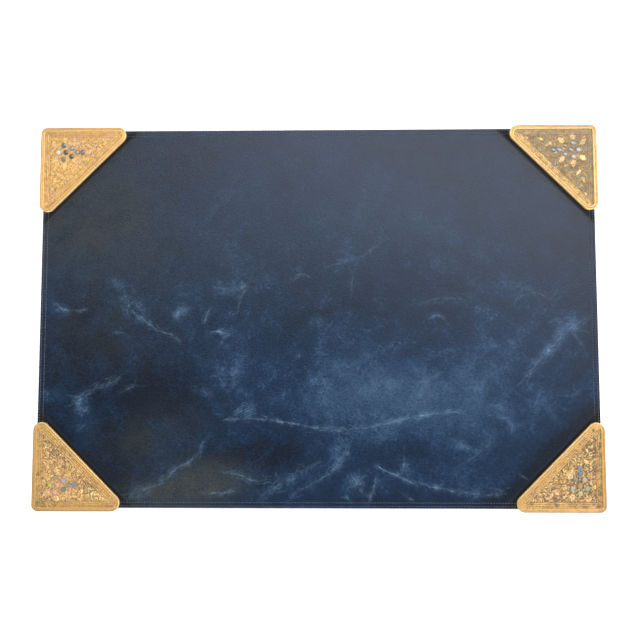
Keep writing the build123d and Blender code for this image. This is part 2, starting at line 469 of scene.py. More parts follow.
@dataclass(frozen=True)
class BronzeFinish:
    """Gilt cast bronze. Patina lies in its recesses, and the gilding is bright where it stands raised, with
    painted highlights.

    Attributes:
        name: The finish's name.
        patina: How dense the patina is, from 0 to 1.
        green: How much of the patina is verdigris.
        spared: How much patina is left where it was rubbed away.
        scribble: How dark the engraved cuts are.
        glint: How bright the painted glints are on the lines between the cuts.
        old: The patina's brown and its verdigris.
        deep: The darker gold painted along the outer edge, as painted shade.
        rose: The copper that shows through in patches.
    """

    name: str
    patina: float
    green: float
    spared: float
    scribble: float
    glint: float
    old: tuple[Colour, Colour]
    gold: Colour = (0.70, 0.385, 0.102)
    pale: Colour = (0.96, 0.730, 0.360)
    deep: Colour = (0.21, 0.105, 0.036)
    rose: Colour = (0.72, 0.425, 0.225)

    def engraving(self, nodes: Nodes, where: Input, rim: Input) -> tuple[Socket, Socket]:
        """Returns the field's dark wandering cuts, and the painted glints on the lines between them."""
        turned = nodes.math("PINGPONG", nodes.math("MULTIPLY", nodes.noise(where, 160, 1), 5.0), 0.5)
        field = nodes.math("SUBTRACT", 1.0, rim)
        cuts = nodes.math("MULTIPLY", nodes.between(turned, 0.07, 0.22, 1.0, 0.0), field)
        return cuts, nodes.math("MULTIPLY", nodes.between(turned, 0.33, 0.44, 0.0, 1.0), field)

    def material(self) -> bpy.types.Material:
        """Returns the bronze, which reads its gilt and highlight, recess, rim and edge marks."""
        made, nodes, shader = new_material(self.name, self.gold)
        where = nodes.mapped((1, 1, 1))
        broad = nodes.noise(where, 60, 5, 0.65)
        mottle = nodes.noise(where, 300, 5, 0.7)
        cast = nodes.noise(where, 1900, 3, 0.6)
        tarnish = nodes.noise(where, 150, 4, 0.75)
        rim = nodes.mark("rim")
        cuts, glints = self.engraving(nodes, where, rim)
        # Painted highlight: the gilt and highlight mark lightens the gold towards pale.
        shine = nodes.math("MULTIPLY", nodes.mark("gilt_and_highlight"), nodes.between(mottle, 0.30, 0.66, 0.30, 1.0))
        # Painted glints: the lines between the cuts are painted pale.
        lit = nodes.math("MULTIPLY", glints, nodes.between(tarnish, 0.40, 0.58, 0.0, self.glint))
        shine = nodes.math("MAXIMUM", shine, lit)
        tint = nodes.blend(shine, rgba(self.gold), rgba(self.pale))
        off_rim = nodes.math("MULTIPLY_ADD", rim, -0.5, 1.0)
        rose_at = nodes.math("MULTIPLY", nodes.between(broad, 0.44, 0.64, 0, 0.70), off_rim)
        tint = nodes.blend(rose_at, tint, rgba(self.rose))
        # Painted shade: the edge mark darkens the outer edge towards the deep gold.
        deep_at = nodes.math("MULTIPLY", nodes.mark("edge"), 0.9)
        tint = nodes.blend(deep_at, tint, rgba(self.deep))
        mottled = nodes.between(mottle, 0.3, 0.7, -0.40, 0.28)
        dirt = nodes.math("MULTIPLY_ADD", nodes.mark("recess"), 1.05, mottled)
        dirt = nodes.math("MULTIPLY_ADD", cuts, self.scribble, dirt)
        dirt = nodes.math("MULTIPLY_ADD", lit, -0.8, dirt)
        wear_and_shade = nodes.between(nodes.noise(where, 27, 4, 0.6), 0.40, 0.58, self.spared, 1.0)
        left = nodes.math("MULTIPLY", wear_and_shade, self.patina)
        dirt = nodes.math("MULTIPLY", nodes.math("MAXIMUM", dirt, 0.0), left)
        dirt = nodes.math("MINIMUM", dirt, 0.96)
        brown, verdigris = self.old
        old = nodes.blend(nodes.between(tarnish, 0.38, 0.60, 0, self.green), rgba(brown), rgba(verdigris))
        nodes.feed(shader.inputs["Base Color"], nodes.blend(dirt, tint, old))
        bare = nodes.between(dirt, 0.1, 0.9, 0.66, 0.16)
        nodes.feed(shader.inputs["Metallic"], nodes.math("MULTIPLY_ADD", rim, -0.16, bare))
        rough = nodes.between(nodes.math("ADD", dirt, mottle), 0.3, 1.4, 0.36, 0.70)
        nodes.feed(shader.inputs["Roughness"], rough)
        height = nodes.math("MULTIPLY_ADD", mottle, 1.5, cast)
        height = nodes.math("MULTIPLY_ADD", nodes.math("SUBTRACT", glints, cuts), 0.8, height)
        nodes.feed(shader.inputs["Normal"], nodes.bump(height, 0.00010))
        return made


@dataclass(frozen=True)
class PlateFinish:
    """Rolled bronze sheet with brushing along one direction and a few tarnished patches."""

    name: str
    bright: Colour
    tarnish: Colour
    brushing: float = 1400.0

    def material(self) -> bpy.types.Material:
        """Returns the brushed sheet."""
        made, nodes, shader = new_material(self.name, self.bright)
        brushed = nodes.noise(nodes.mapped((0.04, 1, 1), 0.785), self.brushing, 3, 0.6)
        cloudy = nodes.noise(nodes.mapped((1, 1, 1)), 60, 5, 0.65)
        scratched = nodes.between(brushed, 0.3, 0.7, 0, 0.30)
        old = nodes.math("ADD", nodes.between(cloudy, 0.36, 0.76, 0, 0.55), scratched)
        nodes.feed(shader.inputs["Base Color"], nodes.blend(old, rgba(self.bright), rgba(self.tarnish)))
        shader.inputs["Metallic"].default_value = 0.9
        nodes.feed(shader.inputs["Roughness"], nodes.between(cloudy, 0.3, 0.7, 0.30, 0.55))
        nodes.feed(shader.inputs["Normal"], nodes.bump(brushed, 0.00004))
        return made


@dataclass(frozen=True)
class ShellFinish:
    """Polished shell with growth bands and a shifting lustre round each disc's own tint."""

    cool: Colour = (0.13, 0.22, 0.21)
    warm: Colour = (0.46, 0.31, 0.30)
    dark: Colour = (0.040, 0.040, 0.028)

    def material(self) -> bpy.types.Material:
        """Returns the shell, which reads tint."""
        made, nodes, shader = new_material("polished_shell", (0.6, 0.66, 0.62))
        where = nodes.mapped((1, 1, 1))
        inputs = {"Vector": where, "Scale": 260.0, "Distortion": 7.0, "Detail": 3.0, "Detail Scale": 1.6}
        bands = nodes.add("ShaderNodeTexWave", inputs, bands_direction="DIAGONAL").outputs["Fac"]
        swirl = nodes.noise(where, 420, 4, 0.65)
        tint = nodes.mark("tint", "Color")
        lustre = nodes.blend(nodes.between(swirl, 0.42, 0.6), rgba(self.cool), rgba(self.warm))
        surface = nodes.blend(nodes.between(bands, 0.2, 0.9, 0.0, 0.32), tint, lustre)
        surface = nodes.blend(nodes.between(swirl, 0.56, 0.70, 0.0, 0.6), surface, rgba(self.dark))
        nodes.feed(shader.inputs["Base Color"], surface)
        nodes.feed(shader.inputs["Roughness"], nodes.between(bands, 0.0, 1.0, 0.10, 0.26))
        shader.inputs["Coat Weight"].default_value = 0.45
        shader.inputs["Coat Roughness"].default_value = 0.06
        nodes.feed(shader.inputs["Normal"], nodes.bump(swirl, 0.00005))
        return made


# ---------------------------------------------------------------------------------------------
# The pad
# ---------------------------------------------------------------------------------------------


@dataclass(frozen=True)
class Strand:
    """One fine line of pulled-up wax.

    Attributes:
        line: Its points, in millimetres.
        strength: How pale it is at each point, from 0 to 1.
        half: Its half width.
        halo: The half width of the soft bloom beside it, or 0 for none.
    """

    line: np.ndarray
    strength: np.ndarray
    half: float
    halo: float

    def mark(self, points: np.ndarray, crease: np.ndarray, bloom: np.ndarray) -> None:
        """Raises the crease and bloom values of the points near the strand."""
        reach = 2.6 * max(self.half, self.halo)
        low, high = self.line.min(axis=0) - reach, self.line.max(axis=0) + reach
        close = np.flatnonzero(((points > low) & (points < high)).all(axis=1))
        nearby = points[close]
        for start, end, one, two in zip(self.line[:-1], self.line[1:], self.strength[:-1], self.strength[1:]):
            run = end - start
            along = np.clip(((nearby - start) @ run) / max(run @ run, 1e-12), 0, 1)
            away = np.linalg.norm(nearby - start - along[:, None] * run, axis=1)
            strength = one + (two - one) * along
            crease[close] = np.maximum(crease[close], strength * np.exp(-((away / self.half) ** 2)))
            if self.halo:
                bloom[close] = np.maximum(bloom[close], strength * np.exp(-((away / self.halo) ** 2)))


@dataclass(frozen=True)
class Crease:
    """A pulled-up crease in the leather, in millimetres.

    Attributes:
        points: The few points that it passes through.
        strength: How pale it is, from 0 to 1.
        spread: How wide it feathers, where 1 is a plain crease.
        hair_every: The length of crease for each hair.
    """

    points: tuple[Point, ...]
    strength: float
    spread: float = 1.0
    step: float = 1.3
    hair_every: float = 3.6
    hair_half: float = 0.48

    def strands(self) -> list[Strand]:
        """Returns the crease's own broken line and the hairs that feather away from it."""
        line = curve_through(self.points, self.step)
        seed = self.points[0][0] * 1.7 + self.points[0][1]
        draw = np.random.default_rng(abs(int(seed * 10)))
        tangent = unit(np.gradient(line, axis=0))
        side = tangent[:, ::-1] * (-1, 1)
        taper = np.sin(np.linspace(0.05, math.pi - 0.05, len(line))) ** 0.6
        broken = 0.30 + 0.70 * smooth(cloud(line, 11.0, seed, 2), -0.35, 0.45)
        line = line + side * (0.9 * self.spread * cloud(line, 12.0, seed + 5, 3))[:, None]
        half = 0.52 * self.spread**0.4
        core = self.strength * taper * broken * 0.85 / max(1.0, self.spread) ** 0.6
        found = [Strand(line, core, half, 3.4 * self.spread**0.7)]
        length = np.linalg.norm(np.diff(line, axis=0), axis=1).sum()
        for _ in range(int(length * self.spread / self.hair_every)):
            at = int(draw.integers(0, len(line)))
            angle = math.radians(draw.normal(0, 12)) * (1 if draw.random() < 0.85 else 2.2)
            way = tangent[at] * draw.choice((-1, 1))
            cos, sin = math.cos(angle), math.sin(angle)
            way = np.array((way[0] * cos - way[1] * sin, way[0] * sin + way[1] * cos))
            reach = draw.uniform(3.5, 11.0) * self.spread**0.4
            start = line[at] + side[at] * draw.normal(0, 1.5 * self.spread)
            t = np.linspace(0, 1, 7)[:, None]
            bend = np.array((-way[1], way[0])) * draw.normal(0, 0.19) * reach
            hair = start + way * reach * t + bend * t**2
            fade = np.sin(math.pi * (0.12 + 0.83 * t[:, 0]))
            strength = self.strength * draw.uniform(0.12, 0.46) / self.spread**0.3 * fade
            found.append(Strand(hair, strength, self.hair_half, 0.0))
        return found


@dataclass(frozen=True)
class Blot:
    """A soft oval mark on the leather, in millimetres and degrees."""

    x: float
    y: float
    half_long: float
    half_wide: float
    turn: float
    amount: float

    def at(self, points: np.ndarray) -> np.ndarray:
        """Returns how strong the mark is at each point."""
        turn = math.radians(self.turn)
        u = (points[:, 0] - self.x) * math.cos(turn) + (points[:, 1] - self.y) * math.sin(turn)
        v = (points[:, 1] - self.y) * math.cos(turn) - (points[:, 0] - self.x) * math.sin(turn)
        return self.amount * np.exp(-((u / self.half_long) ** 2) - (v / self.half_wide) ** 2)


CREASES = (
    Crease(((-98, -114), (-64, -112), (-36, -115), (-12, -120), (14, -123), (36, -125)), 1.0),
    Crease(((30, -124), (56, -121), (84, -115), (104, -110), (124, -107), (156, -103)), 0.95),
    Crease(((299, 0), (284, -8), (272, -15), (262, -27), (252, -39), (240, -52), (222, -70)), 0.75, 1.9),
    Crease(((252, -4), (266, -8), (277, -17), (284, -28), (291, -35)), 0.35, 1.4),
    Crease(((-208, 8), (-192, -3), (-177, -13), (-168, -19), (-158, -22), (-149, -31)), 0.7, 1.3),
    Crease(((-290, 14), (-282, 8), (-270, 6), (-252, 7)), 0.5),
    Crease(((-268, -94), (-250, -86), (-232, -77), (-216, -68)), 0.8, 2.2),
    Crease(((-218, -86), (-206, -80), (-196, -75)), 0.4, 1.2),
    Crease(((-223, -17), (-215, -19), (-208, -20)), 0.6),
    Crease(((-118, 8), (-121, 0), (-124, -7)), 0.55),
    Crease(((-119, -18), (-106, -18), (-93, -20)), 0.85),
    Crease(((-204, -196), (-190, -189), (-171, -181), (-153, -167), (-135, -155), (-119, -133)), 0.7, 1.7),
    Crease(((-104, -168), (-86, -172), (-66, -178), (-48, -176)), 0.75, 1.1),
    Crease(((-118, -192), (-102, -191), (-86, -190)), 0.85),
    Crease(((-46, -171), (-42, -176), (-38, -181)), 0.6, 0.7),
    Crease(((-60, -194), (-48, -186), (-34, -178), (-13, -167), (4, -158)), 0.6, 2.0),
    Crease(((-30, -197), (-10, -184), (13, -170), (25, -159), (31, -146), (27, -134), (22, -126)), 0.6, 1.5),
    Crease(((62, -161), (76, -169), (92, -175), (105, -182)), 1.0, 0.8),
    Crease(((104, -180), (123, -184), (140, -187), (150, -190)), 0.75, 1.0),
    Crease(((146, -189), (165, -191), (182, -193), (204, -192)), 0.55, 1.4),
    Crease(((63, -174), (61, -186), (55, -203)), 0.7, 0.9),
    Crease(((36, -172), (41, -179), (46, -187), (52, -193)), 0.6, 1.3),
    Crease(((32, -186), (41, -180), (51, -175)), 0.5, 1.1),
    Crease(((158, -160), (170, -151), (180, -142), (188, -133)), 0.3, 1.2),
    Crease(((144, -130), (151, -138), (160, -142), (172, -147), (166, -155)), 0.45, 1.1),
    Crease(((92, -148), (94, -156), (91, -166)), 0.5, 1.0),
    Crease(((190, -108), (200, -110), (207, -116), (209, -129)), 0.5, 1.0),
    Crease(((30, -194), (38, -203)), 0.6, 0.7),
    Crease(((93, -192), (98, -196), (105, -200)), 0.6, 0.7),
    Crease(((182, -185), (192, -187), (204, -189)), 0.5, 0.9),
    Crease(((216, -171), (223, -175), (231, -180)), 0.4, 0.4),
    Crease(((-118, 36), (-104, 29), (-91, 28), (-79, 34), (-66, 43)), 0.45, 2.2),
    Crease(((-78, 31), (-84, 17), (-87, 6), (-93, 2)), 0.5, 1.0),
    Crease(((-32, 37), (-18, 46), (-6, 43)), 0.4, 1.4),
    Crease(((10, 54), (31, 59), (50, 66), (66, 77)), 0.4, 1.3),
    Crease(((34, 56), (39, 42), (37, 20)), 0.22, 1.4),
    Crease(((52, -58), (62, -76), (74, -94)), 0.3, 1.6),
    Crease(((112, 12), (130, 18), (148, 19), (174, 12)), 0.3, 2.0),
    Crease(((122, -4), (130, 1), (139, -3)), 0.45, 0.9),
    Crease(((108, -74), (120, -70), (132, -64)), 0.3, 1.3),
    Crease(((-84, 160), (-98, 138), (-118, 112)), 0.2, 3.0),
    Crease(((246, -88), (252, -100), (258, -116)), 0.28, 2.0),
    Crease(((222, 20), (238, 25), (252, 19)), 0.25, 1.6),
    Crease(((16, -72), (8, -88), (12, -104), (18, -118)), 0.25, 1.6),
)
FAN = Blot(-77, -104, 15, 7, 24, 0.60)
BLOOMS = (
    Blot(-151, 3, 13, 5, 42, 0.85),
    Blot(-205, 12, 14, 11, -30, 0.6),
    Blot(-216, 33, 6, 13, 60, 0.4),
    Blot(-125, -82, 10, 4, -20, 0.85),
    Blot(-256, -98, 7, 12, 10, 0.8),
    Blot(-256, -118, 10, 8, 0, 0.45),
    Blot(-293, -87, 8, 5, 0, 0.5),
    Blot(-282, 9, 9, 5, -20, 0.5),
    Blot(272, -14, 11, 6, 40, 0.55),
    Blot(252, -37, 10, 6, 55, 0.55),
    Blot(43, -181, 10, 9, 0, 0.75),
    Blot(156, -191, 9, 6, 0, 0.5),
    Blot(-96, -62, 15, 26, 0, 0.42),
    Blot(-96, 30, 20, 7, 10, 0.4),
    Blot(-2, -5, 6, 4, 10, 0.7),
    Blot(-18, -42, 5, 3, 30, 0.5),
    Blot(-8, -73, 5, 3, 30, 0.5),
    Blot(-195, -192, 12, 8, 30, 0.5),
    Blot(25, -150, 7, 14, 0, 0.4),
    Blot(-40, -186, 18, 8, 30, 0.5),
    Blot(92, -160, 7, 9, 0, 0.35),
)
GLOWS = (
    Blot(92, -92, 106, 46, -8, 0.66),
    Blot(40, 90, 190, 70, 0, 0.16),
    Blot(225, -66, 60, 60, 0, 0.30),
    Blot(-20, -95, 40, 16, 0, 0.25),
    Blot(-90, -50, 34, 42, 0, 0.34),
    Blot(-5, -165, 70, 38, 20, 0.22),
    Blot(150, -175, 90, 22, 0, 0.22),
    Blot(-170, 20, 60, 30, 0, 0.12),
    Blot(-252, -112, 16, 26, 0, 0.30),
    Blot(272, -14, 20, 12, 40, 0.3),
)
# Painted shade: soft dark patches laid on the leather through its shade mark.
SHADES = (
    Blot(-270, -40, 60, 62, 0, 0.34),
    Blot(-180, -88, 54, 24, 0, 0.30),
    Blot(-62, -152, 46, 17, 8, 0.40),
    Blot(-222, -140, 40, 34, 45, 0.34),
    Blot(105, -152, 60, 14, 0, 0.16),
    Blot(-240, 120, 90, 70, 0, 0.16),
    Blot(285, 120, 24, 60, 0, 0.14),
)
OLIVE_AND_SHEEN = (
    Blot(-122, -180, 44, 22, 6, 0.95),
    Blot(-176, -192, 46, 16, 4, 0.60),
    Blot(-180, -132, 60, 30, 20, 0.36),
    # Painted sheen: this blot and the last one tint the upper left greyer, like the sheen there.
    Blot(-256, 120, 90, 76, 0, 0.44),
    Blot(-225, -25, 90, 40, 0, 0.18),
    Blot(-180, 62, 150, 56, 0, 0.20),
)


@dataclass(frozen=True)
class Border:
    """The pad's outline as rings of matching points, which keeps stitches in line with their holes."""

    half_x: float
    half_y: float
    turn_r: float = 9.0
    pitch: float = 3.175
    turn_stitches: int = 3
    per_stitch: int = 2

    def stations(self, per_stitch: int, phase: float) -> list[tuple[float, float, float]]:
        """Returns each point's place for no inset, as its arc or edge centre and its outward angle."""
        runs = (
            (self.half_x - self.turn_r, self.half_y - self.turn_r, 1, 0),
            (self.half_x - self.turn_r, self.half_y - self.turn_r, 0, 1),
            (self.half_x - self.turn_r, self.half_y - self.turn_r, -1, 0),
            (self.half_x - self.turn_r, self.half_y - self.turn_r, 0, -1),
        )
        found = []
        for quarter, (a, b, out_x, out_y) in enumerate(runs):
            angle = quarter * math.pi / 2
            run = (b if out_x else a) * 2
            count = round(run / self.pitch) * per_stitch
            centre = a if out_x else b
            for index in range(count):
                along = run * ((index + phase) / count - 0.5)
                x = centre * out_x - along * out_y
                y = centre * out_y + along * out_x
                found.append((x, y, angle))
            corner_x = (a if quarter in (0, 3) else -a, b if quarter in (0, 1) else -b)
            turns = self.turn_stitches * per_stitch
            found += [(*corner_x, angle + math.pi / 2 * (index + phase) / turns) for index in range(turns)]
        return found

    def ring(self, inset: float, per_stitch: int | None = None, phase: float = 0.0) -> np.ndarray:
        """Returns the points of one ring, anticlockwise from above.

        Args:
            inset: The ring's distance inside the pad's edge.
            per_stitch: Points for each stitch.
            phase: How far the points are moved along, in points.

        Returns:
            An array of places in the plane.
        """
        places = np.array(self.stations(per_stitch or self.per_stitch, phase))
        out = np.stack([np.cos(places[:, 2]), np.sin(places[:, 2])], axis=1)
        return places[:, :2] + out * (self.turn_r - inset)


@dataclass
class LeatherFace:
    """The leather top: a rolled edge, two stitched channels and a creased, gently uneven face.

    Attributes:
        border: The pad's outline.
        low: The height of the leather's underside.
        top: The height of its face.
        corner_leg: The length of a corner's legs.
        roll: How far the rolled edge drops.
        body_inset: Where the creased face starts.
        crease_rise: How far a crease stands up.
        grid: The spacing of the face's points: in the open, near creases and on them.
        reach: How far the two closer spacings go from a crease.
    """

    border: Border
    low: float
    top: float
    corner_leg: float
    overhang: float = 3.3
    rows: tuple[float, ...] = (2.2, 6.0)
    roll: float = 0.5
    channel_depth: float = 0.34
    hole_depth: float = 0.62
    channel_half: float = 0.5
    body_inset: float = 8.0
    crease_rise: float = 0.05
    grid: tuple[float, float, float] = (4.2, 1.8, 0.68)
    reach: tuple[float, float] = (7.0, 1.5)

    def profile(self) -> list[tuple[float, float]]:
        """Returns each border ring's inset and its height against the face."""
        rings = [(0.0, -self.roll), (0.06, -0.26), (0.22, -0.08), (0.5, 0.0), (1.1, 0.02)]
        middle = sum(self.rows) / 2
        for row in self.rows:
            half, depth = self.channel_half, self.channel_depth
            rings += [(row - half, 0.0), (row - half / 2, -depth * 0.65), (row, -depth)]
            rings += [(row + half / 2, -depth * 0.65), (row + half, 0.0)]
            rings += [(middle, 0.06)] if row < middle else [(row + 1.2, 0.02), (self.body_inset, 0.0)]
        return rings

    def strands(self) -> list[Strand]:
        """Returns every fine crease line, with the fan of short wrinkles."""
        found = [strand for crease in CREASES for strand in crease.strands()]
        turn = math.radians(FAN.turn)
        along = np.array((math.cos(turn), math.sin(turn)))
        across = np.array((-along[1], along[0]))
        for index in range(8):
            side = (index - 3.5) / 3.5
            middle = np.array((FAN.x, FAN.y)) + across * side * FAN.half_wide * 1.25
            half = along * FAN.half_long * math.sqrt(1.2 - side * side) * 0.8
            points = (tuple(middle - half), tuple(middle + across * 1.1), tuple(middle + half))
            found += [replace(Crease(points, FAN.amount, 0.4).strands()[0], halo=0.0)]
        return found

    def scattered(self, strands: Sequence[Strand]) -> np.ndarray:
        """Returns points inside the border, closer together near the creases and beside the corners."""
        near = np.concatenate([strand.line for strand in strands])
        half_x = self.border.half_x - self.body_inset
        half_y = self.border.half_y - self.body_inset
        lines = [strand.line for strand in strands]
        reach = self.corner_leg + 2.5 * math.sqrt(2)
        across = np.linspace((0.0, reach), (reach, 0.0), 70)
        outer = np.array((self.border.half_x, self.border.half_y)) + self.overhang
        beside = [(outer - across) * (x, y) for x in (-1, 1) for y in (-1, 1)]
        found = []
        for level, step in enumerate(self.grid):
            xs = np.arange(-half_x + step * 0.6, half_x - step * 0.4, step)
            ys = np.arange(-half_y + step * 0.6, half_y - step * 0.4, step * ROW_RATIO)
            if level == 0:
                x, y = np.meshgrid(xs, ys)
                x = x + (np.arange(len(ys)) % 2)[:, None] * step / 2
                points = np.stack([x.ravel(), y.ravel()], axis=1)
            else:
                more = beside if level == 1 else []
                points = self.beside([*lines, *more], step, self.reach[level - 1], (half_x, half_y))
            gap = self.gap(points, near if level else np.concatenate([near, *beside]))
            inner = self.reach[level] if level < len(self.reach) else 0.0
            found.append(points[gap > inner])
        return np.concatenate(found)

    @staticmethod
    def beside(lines: Sequence[np.ndarray], step: float, reach: float, half: Point) -> np.ndarray:
        """Returns grid points that lie within reach of the lines.

        Args:
            lines: The lines, as arrays of places in the plane.
            step: The grid's spacing.
            reach: How far from a line a point may lie.
            half: Half the grid's width and depth.

        Returns:
            An array of places in the plane.
        """
        cells = set()
        high = step * ROW_RATIO
        for line in lines:
            for x, y in line[:: max(1, int(reach / 4))]:
                for row in range(math.floor((y - reach) / high), math.ceil((y + reach) / high) + 1):
                    rest = reach**2 - (row * step * ROW_RATIO - y) ** 2
                    if rest <= 0:
                        continue
                    span = math.sqrt(rest)
                    shift = (row % 2) / 2
                    first, last = math.ceil((x - span) / step - shift), math.floor((x + span) / step - shift)
                    cells.update((column, row) for column in range(first, last + 1))
        grid = np.array(sorted(cells), float)
        points = np.stack([(grid[:, 0] + (grid[:, 1] % 2) / 2) * step, grid[:, 1] * step * ROW_RATIO], axis=1)
        return points[(np.abs(points) < np.array(half) - step * 0.5).all(axis=1)]

    @staticmethod
    def gap(points: np.ndarray, near: np.ndarray, cell: float = 8.0) -> np.ndarray:
        """Returns each point's distance to the nearest of some others, or a large one if none is close."""
        bins: dict[tuple[int, int], list[int]] = {}
        for index, key in enumerate(map(tuple, np.floor(near / cell).astype(int))):
            bins.setdefault(key, []).append(index)
        groups: dict[tuple[int, int], list[int]] = {}
        for index, key in enumerate(map(tuple, np.floor(points / cell).astype(int))):
            groups.setdefault(key, []).append(index)
        found = np.full(len(points), 1e3)
        for (column, row), members in groups.items():
            cells = [(column + dx, row + dy) for dx in (-1, 0, 1) for dy in (-1, 0, 1)]
            around = [index for key in cells for index in bins.get(key, ())]
            if around:
                found[members] = nearest(points[members], near[around])
        return found

    def marks(self, points: np.ndarray, strands: Sequence[Strand]) -> dict[str, np.ndarray]:
        """Returns how creased, opened, shaded and olive the leather is at each point."""
        crease, bloom = np.zeros(len(points)), np.zeros(len(points))
        for strand in strands:
            strand.mark(points, crease, bloom)
        bloom = np.minimum(bloom * 0.8 + sum(blot.at(points) for blot in (*BLOOMS, FAN)), 1.2)
        shade = sum(blot.at(points) for blot in SHADES)
        outer = np.array((self.border.half_x, self.border.half_y)) + self.overhang
        past = ((2 * outer - 2 * np.abs(points)).sum(axis=1) / 2 - self.corner_leg) / math.sqrt(2)
        # Painted shadow: a near-black band along each corner's hypotenuse, where the cover shades the
        # leather.
        cover_shadow = 0.98 * np.exp(-((np.maximum(past - 2.5, 0) / 1.5) ** 2)) * smooth(past, -5.5, -1.5)
        # Painted shade: full along the corners' hypotenuses and fading away from them, wider towards the
        # front right; under the covers it is kept at part strength, as darker unfaded leather.
        front_right = smooth((points / outer) @ (0.5, -0.5), 0.55, 0.8)
        beside = np.exp(-((np.maximum(past, 0) / (9 + 10 * front_right)) ** 2))
        beside = beside * (0.45 + 0.55 * smooth(past, -9, -2))
        shade = shade + (0.5 + 0.5 * front_right) * beside
        glow = sum(blot.at(points) for blot in GLOWS)
        return {
            "crease": np.clip(crease, 0, 1),
            "bloom": bloom,
            "glow": np.clip(glow + 0.35 * bloom, 0, 1.2),
            "shade": np.clip(shade, 0, 1.4),
            "calm": smooth(points[:, 1], -10, 110),
            "olive": np.clip(sum(blot.at(points) for blot in OLIVE_AND_SHEEN), 0, 0.9),
            "cover_shadow": cover_shadow,
        }

    def add_border(self, shell: Shell, marks: Marks) -> list[np.ndarray]:
        """Adds the rolled edge and the stitched channels.

        Args:
            shell: The mesh to add to.
            marks: The values to add to, for each point.

        Returns:
            The indices of each ring's points, from the outside in.
        """
        rings = []
        for inset, height in self.profile():
            flat = self.border.ring(inset)
            z = np.full(len(flat), self.top + height)
            holes = np.zeros(len(flat))
            # Painted shade: every stitch hole is marked to be painted black.
            if inset in self.rows:
                holes[:: self.border.per_stitch] = 1
                z -= holes * (self.hole_depth - self.channel_depth)
            rings.append(shell.add_points(np.column_stack([flat, z])))
            marks["pierce"].append(holes)
            marks["edge"].append(np.full(len(flat), float(height < -0.2 and inset < 0.2)))
        for outer, inner in zip(rings[:-1], rings[1:]):
            shell.add_band(outer, inner)
        return rings

    def build(self) -> bpy.types.Object:
        """Builds and dresses the leather, in place of its CAD solid."""
        strands, shell = self.strands(), Shell()
        marks: Marks = {"pierce": [], "edge": []}
        rings = self.add_border(shell, marks)
        loose = self.scattered(strands)
        relief = 0.07 * cloud(loose, 46, 1.5, 2) * smooth(self.inset_of(loose), 8, 30)
        inner = shell.add_points(np.column_stack([loose, self.top + relief]))
        shell.fill(rings[-1], inner)
        base = shell.add_points(np.column_stack([self.border.ring(0.0), np.full(len(rings[0]), self.low)]))
        shell.add_band(base, rings[0])
        shell.faces.append(tuple(base[::-1]))
        for name, value in (("pierce", 0.0), ("edge", 1.0)):
            marks[name] += [np.zeros(len(inner)), np.full(len(base), value)]
        values = self.marks(np.concatenate(shell.points)[:, :2], strands)
        shell.points[len(rings)][:, 2] += values["crease"][inner] * self.crease_rise
        values["pierce"] = np.concatenate(marks["pierce"])
        # The edge mark paints the edge paint black, and with it the painted shadow beside the corners.
        values["edge"] = np.maximum(np.concatenate(marks["edge"]), values.pop("cover_shadow"))
        piece = shell.piece("leather_face", LeatherFinish().material(), values)
        finish_piece(piece, "pad", ["leather_top"])
        return piece

    def inset_of(self, points: np.ndarray) -> np.ndarray:
        """Returns each point's distance inside the pad's edge."""
        return (np.array((self.border.half_x, self.border.half_y)) - np.abs(points)).min(axis=1)


class ThreadSide(Enum):
    """The two faces of the pad: which way a stitch arches, and the name of its thread."""

    NEEDLE = 1.0
    BOBBIN = -1.0


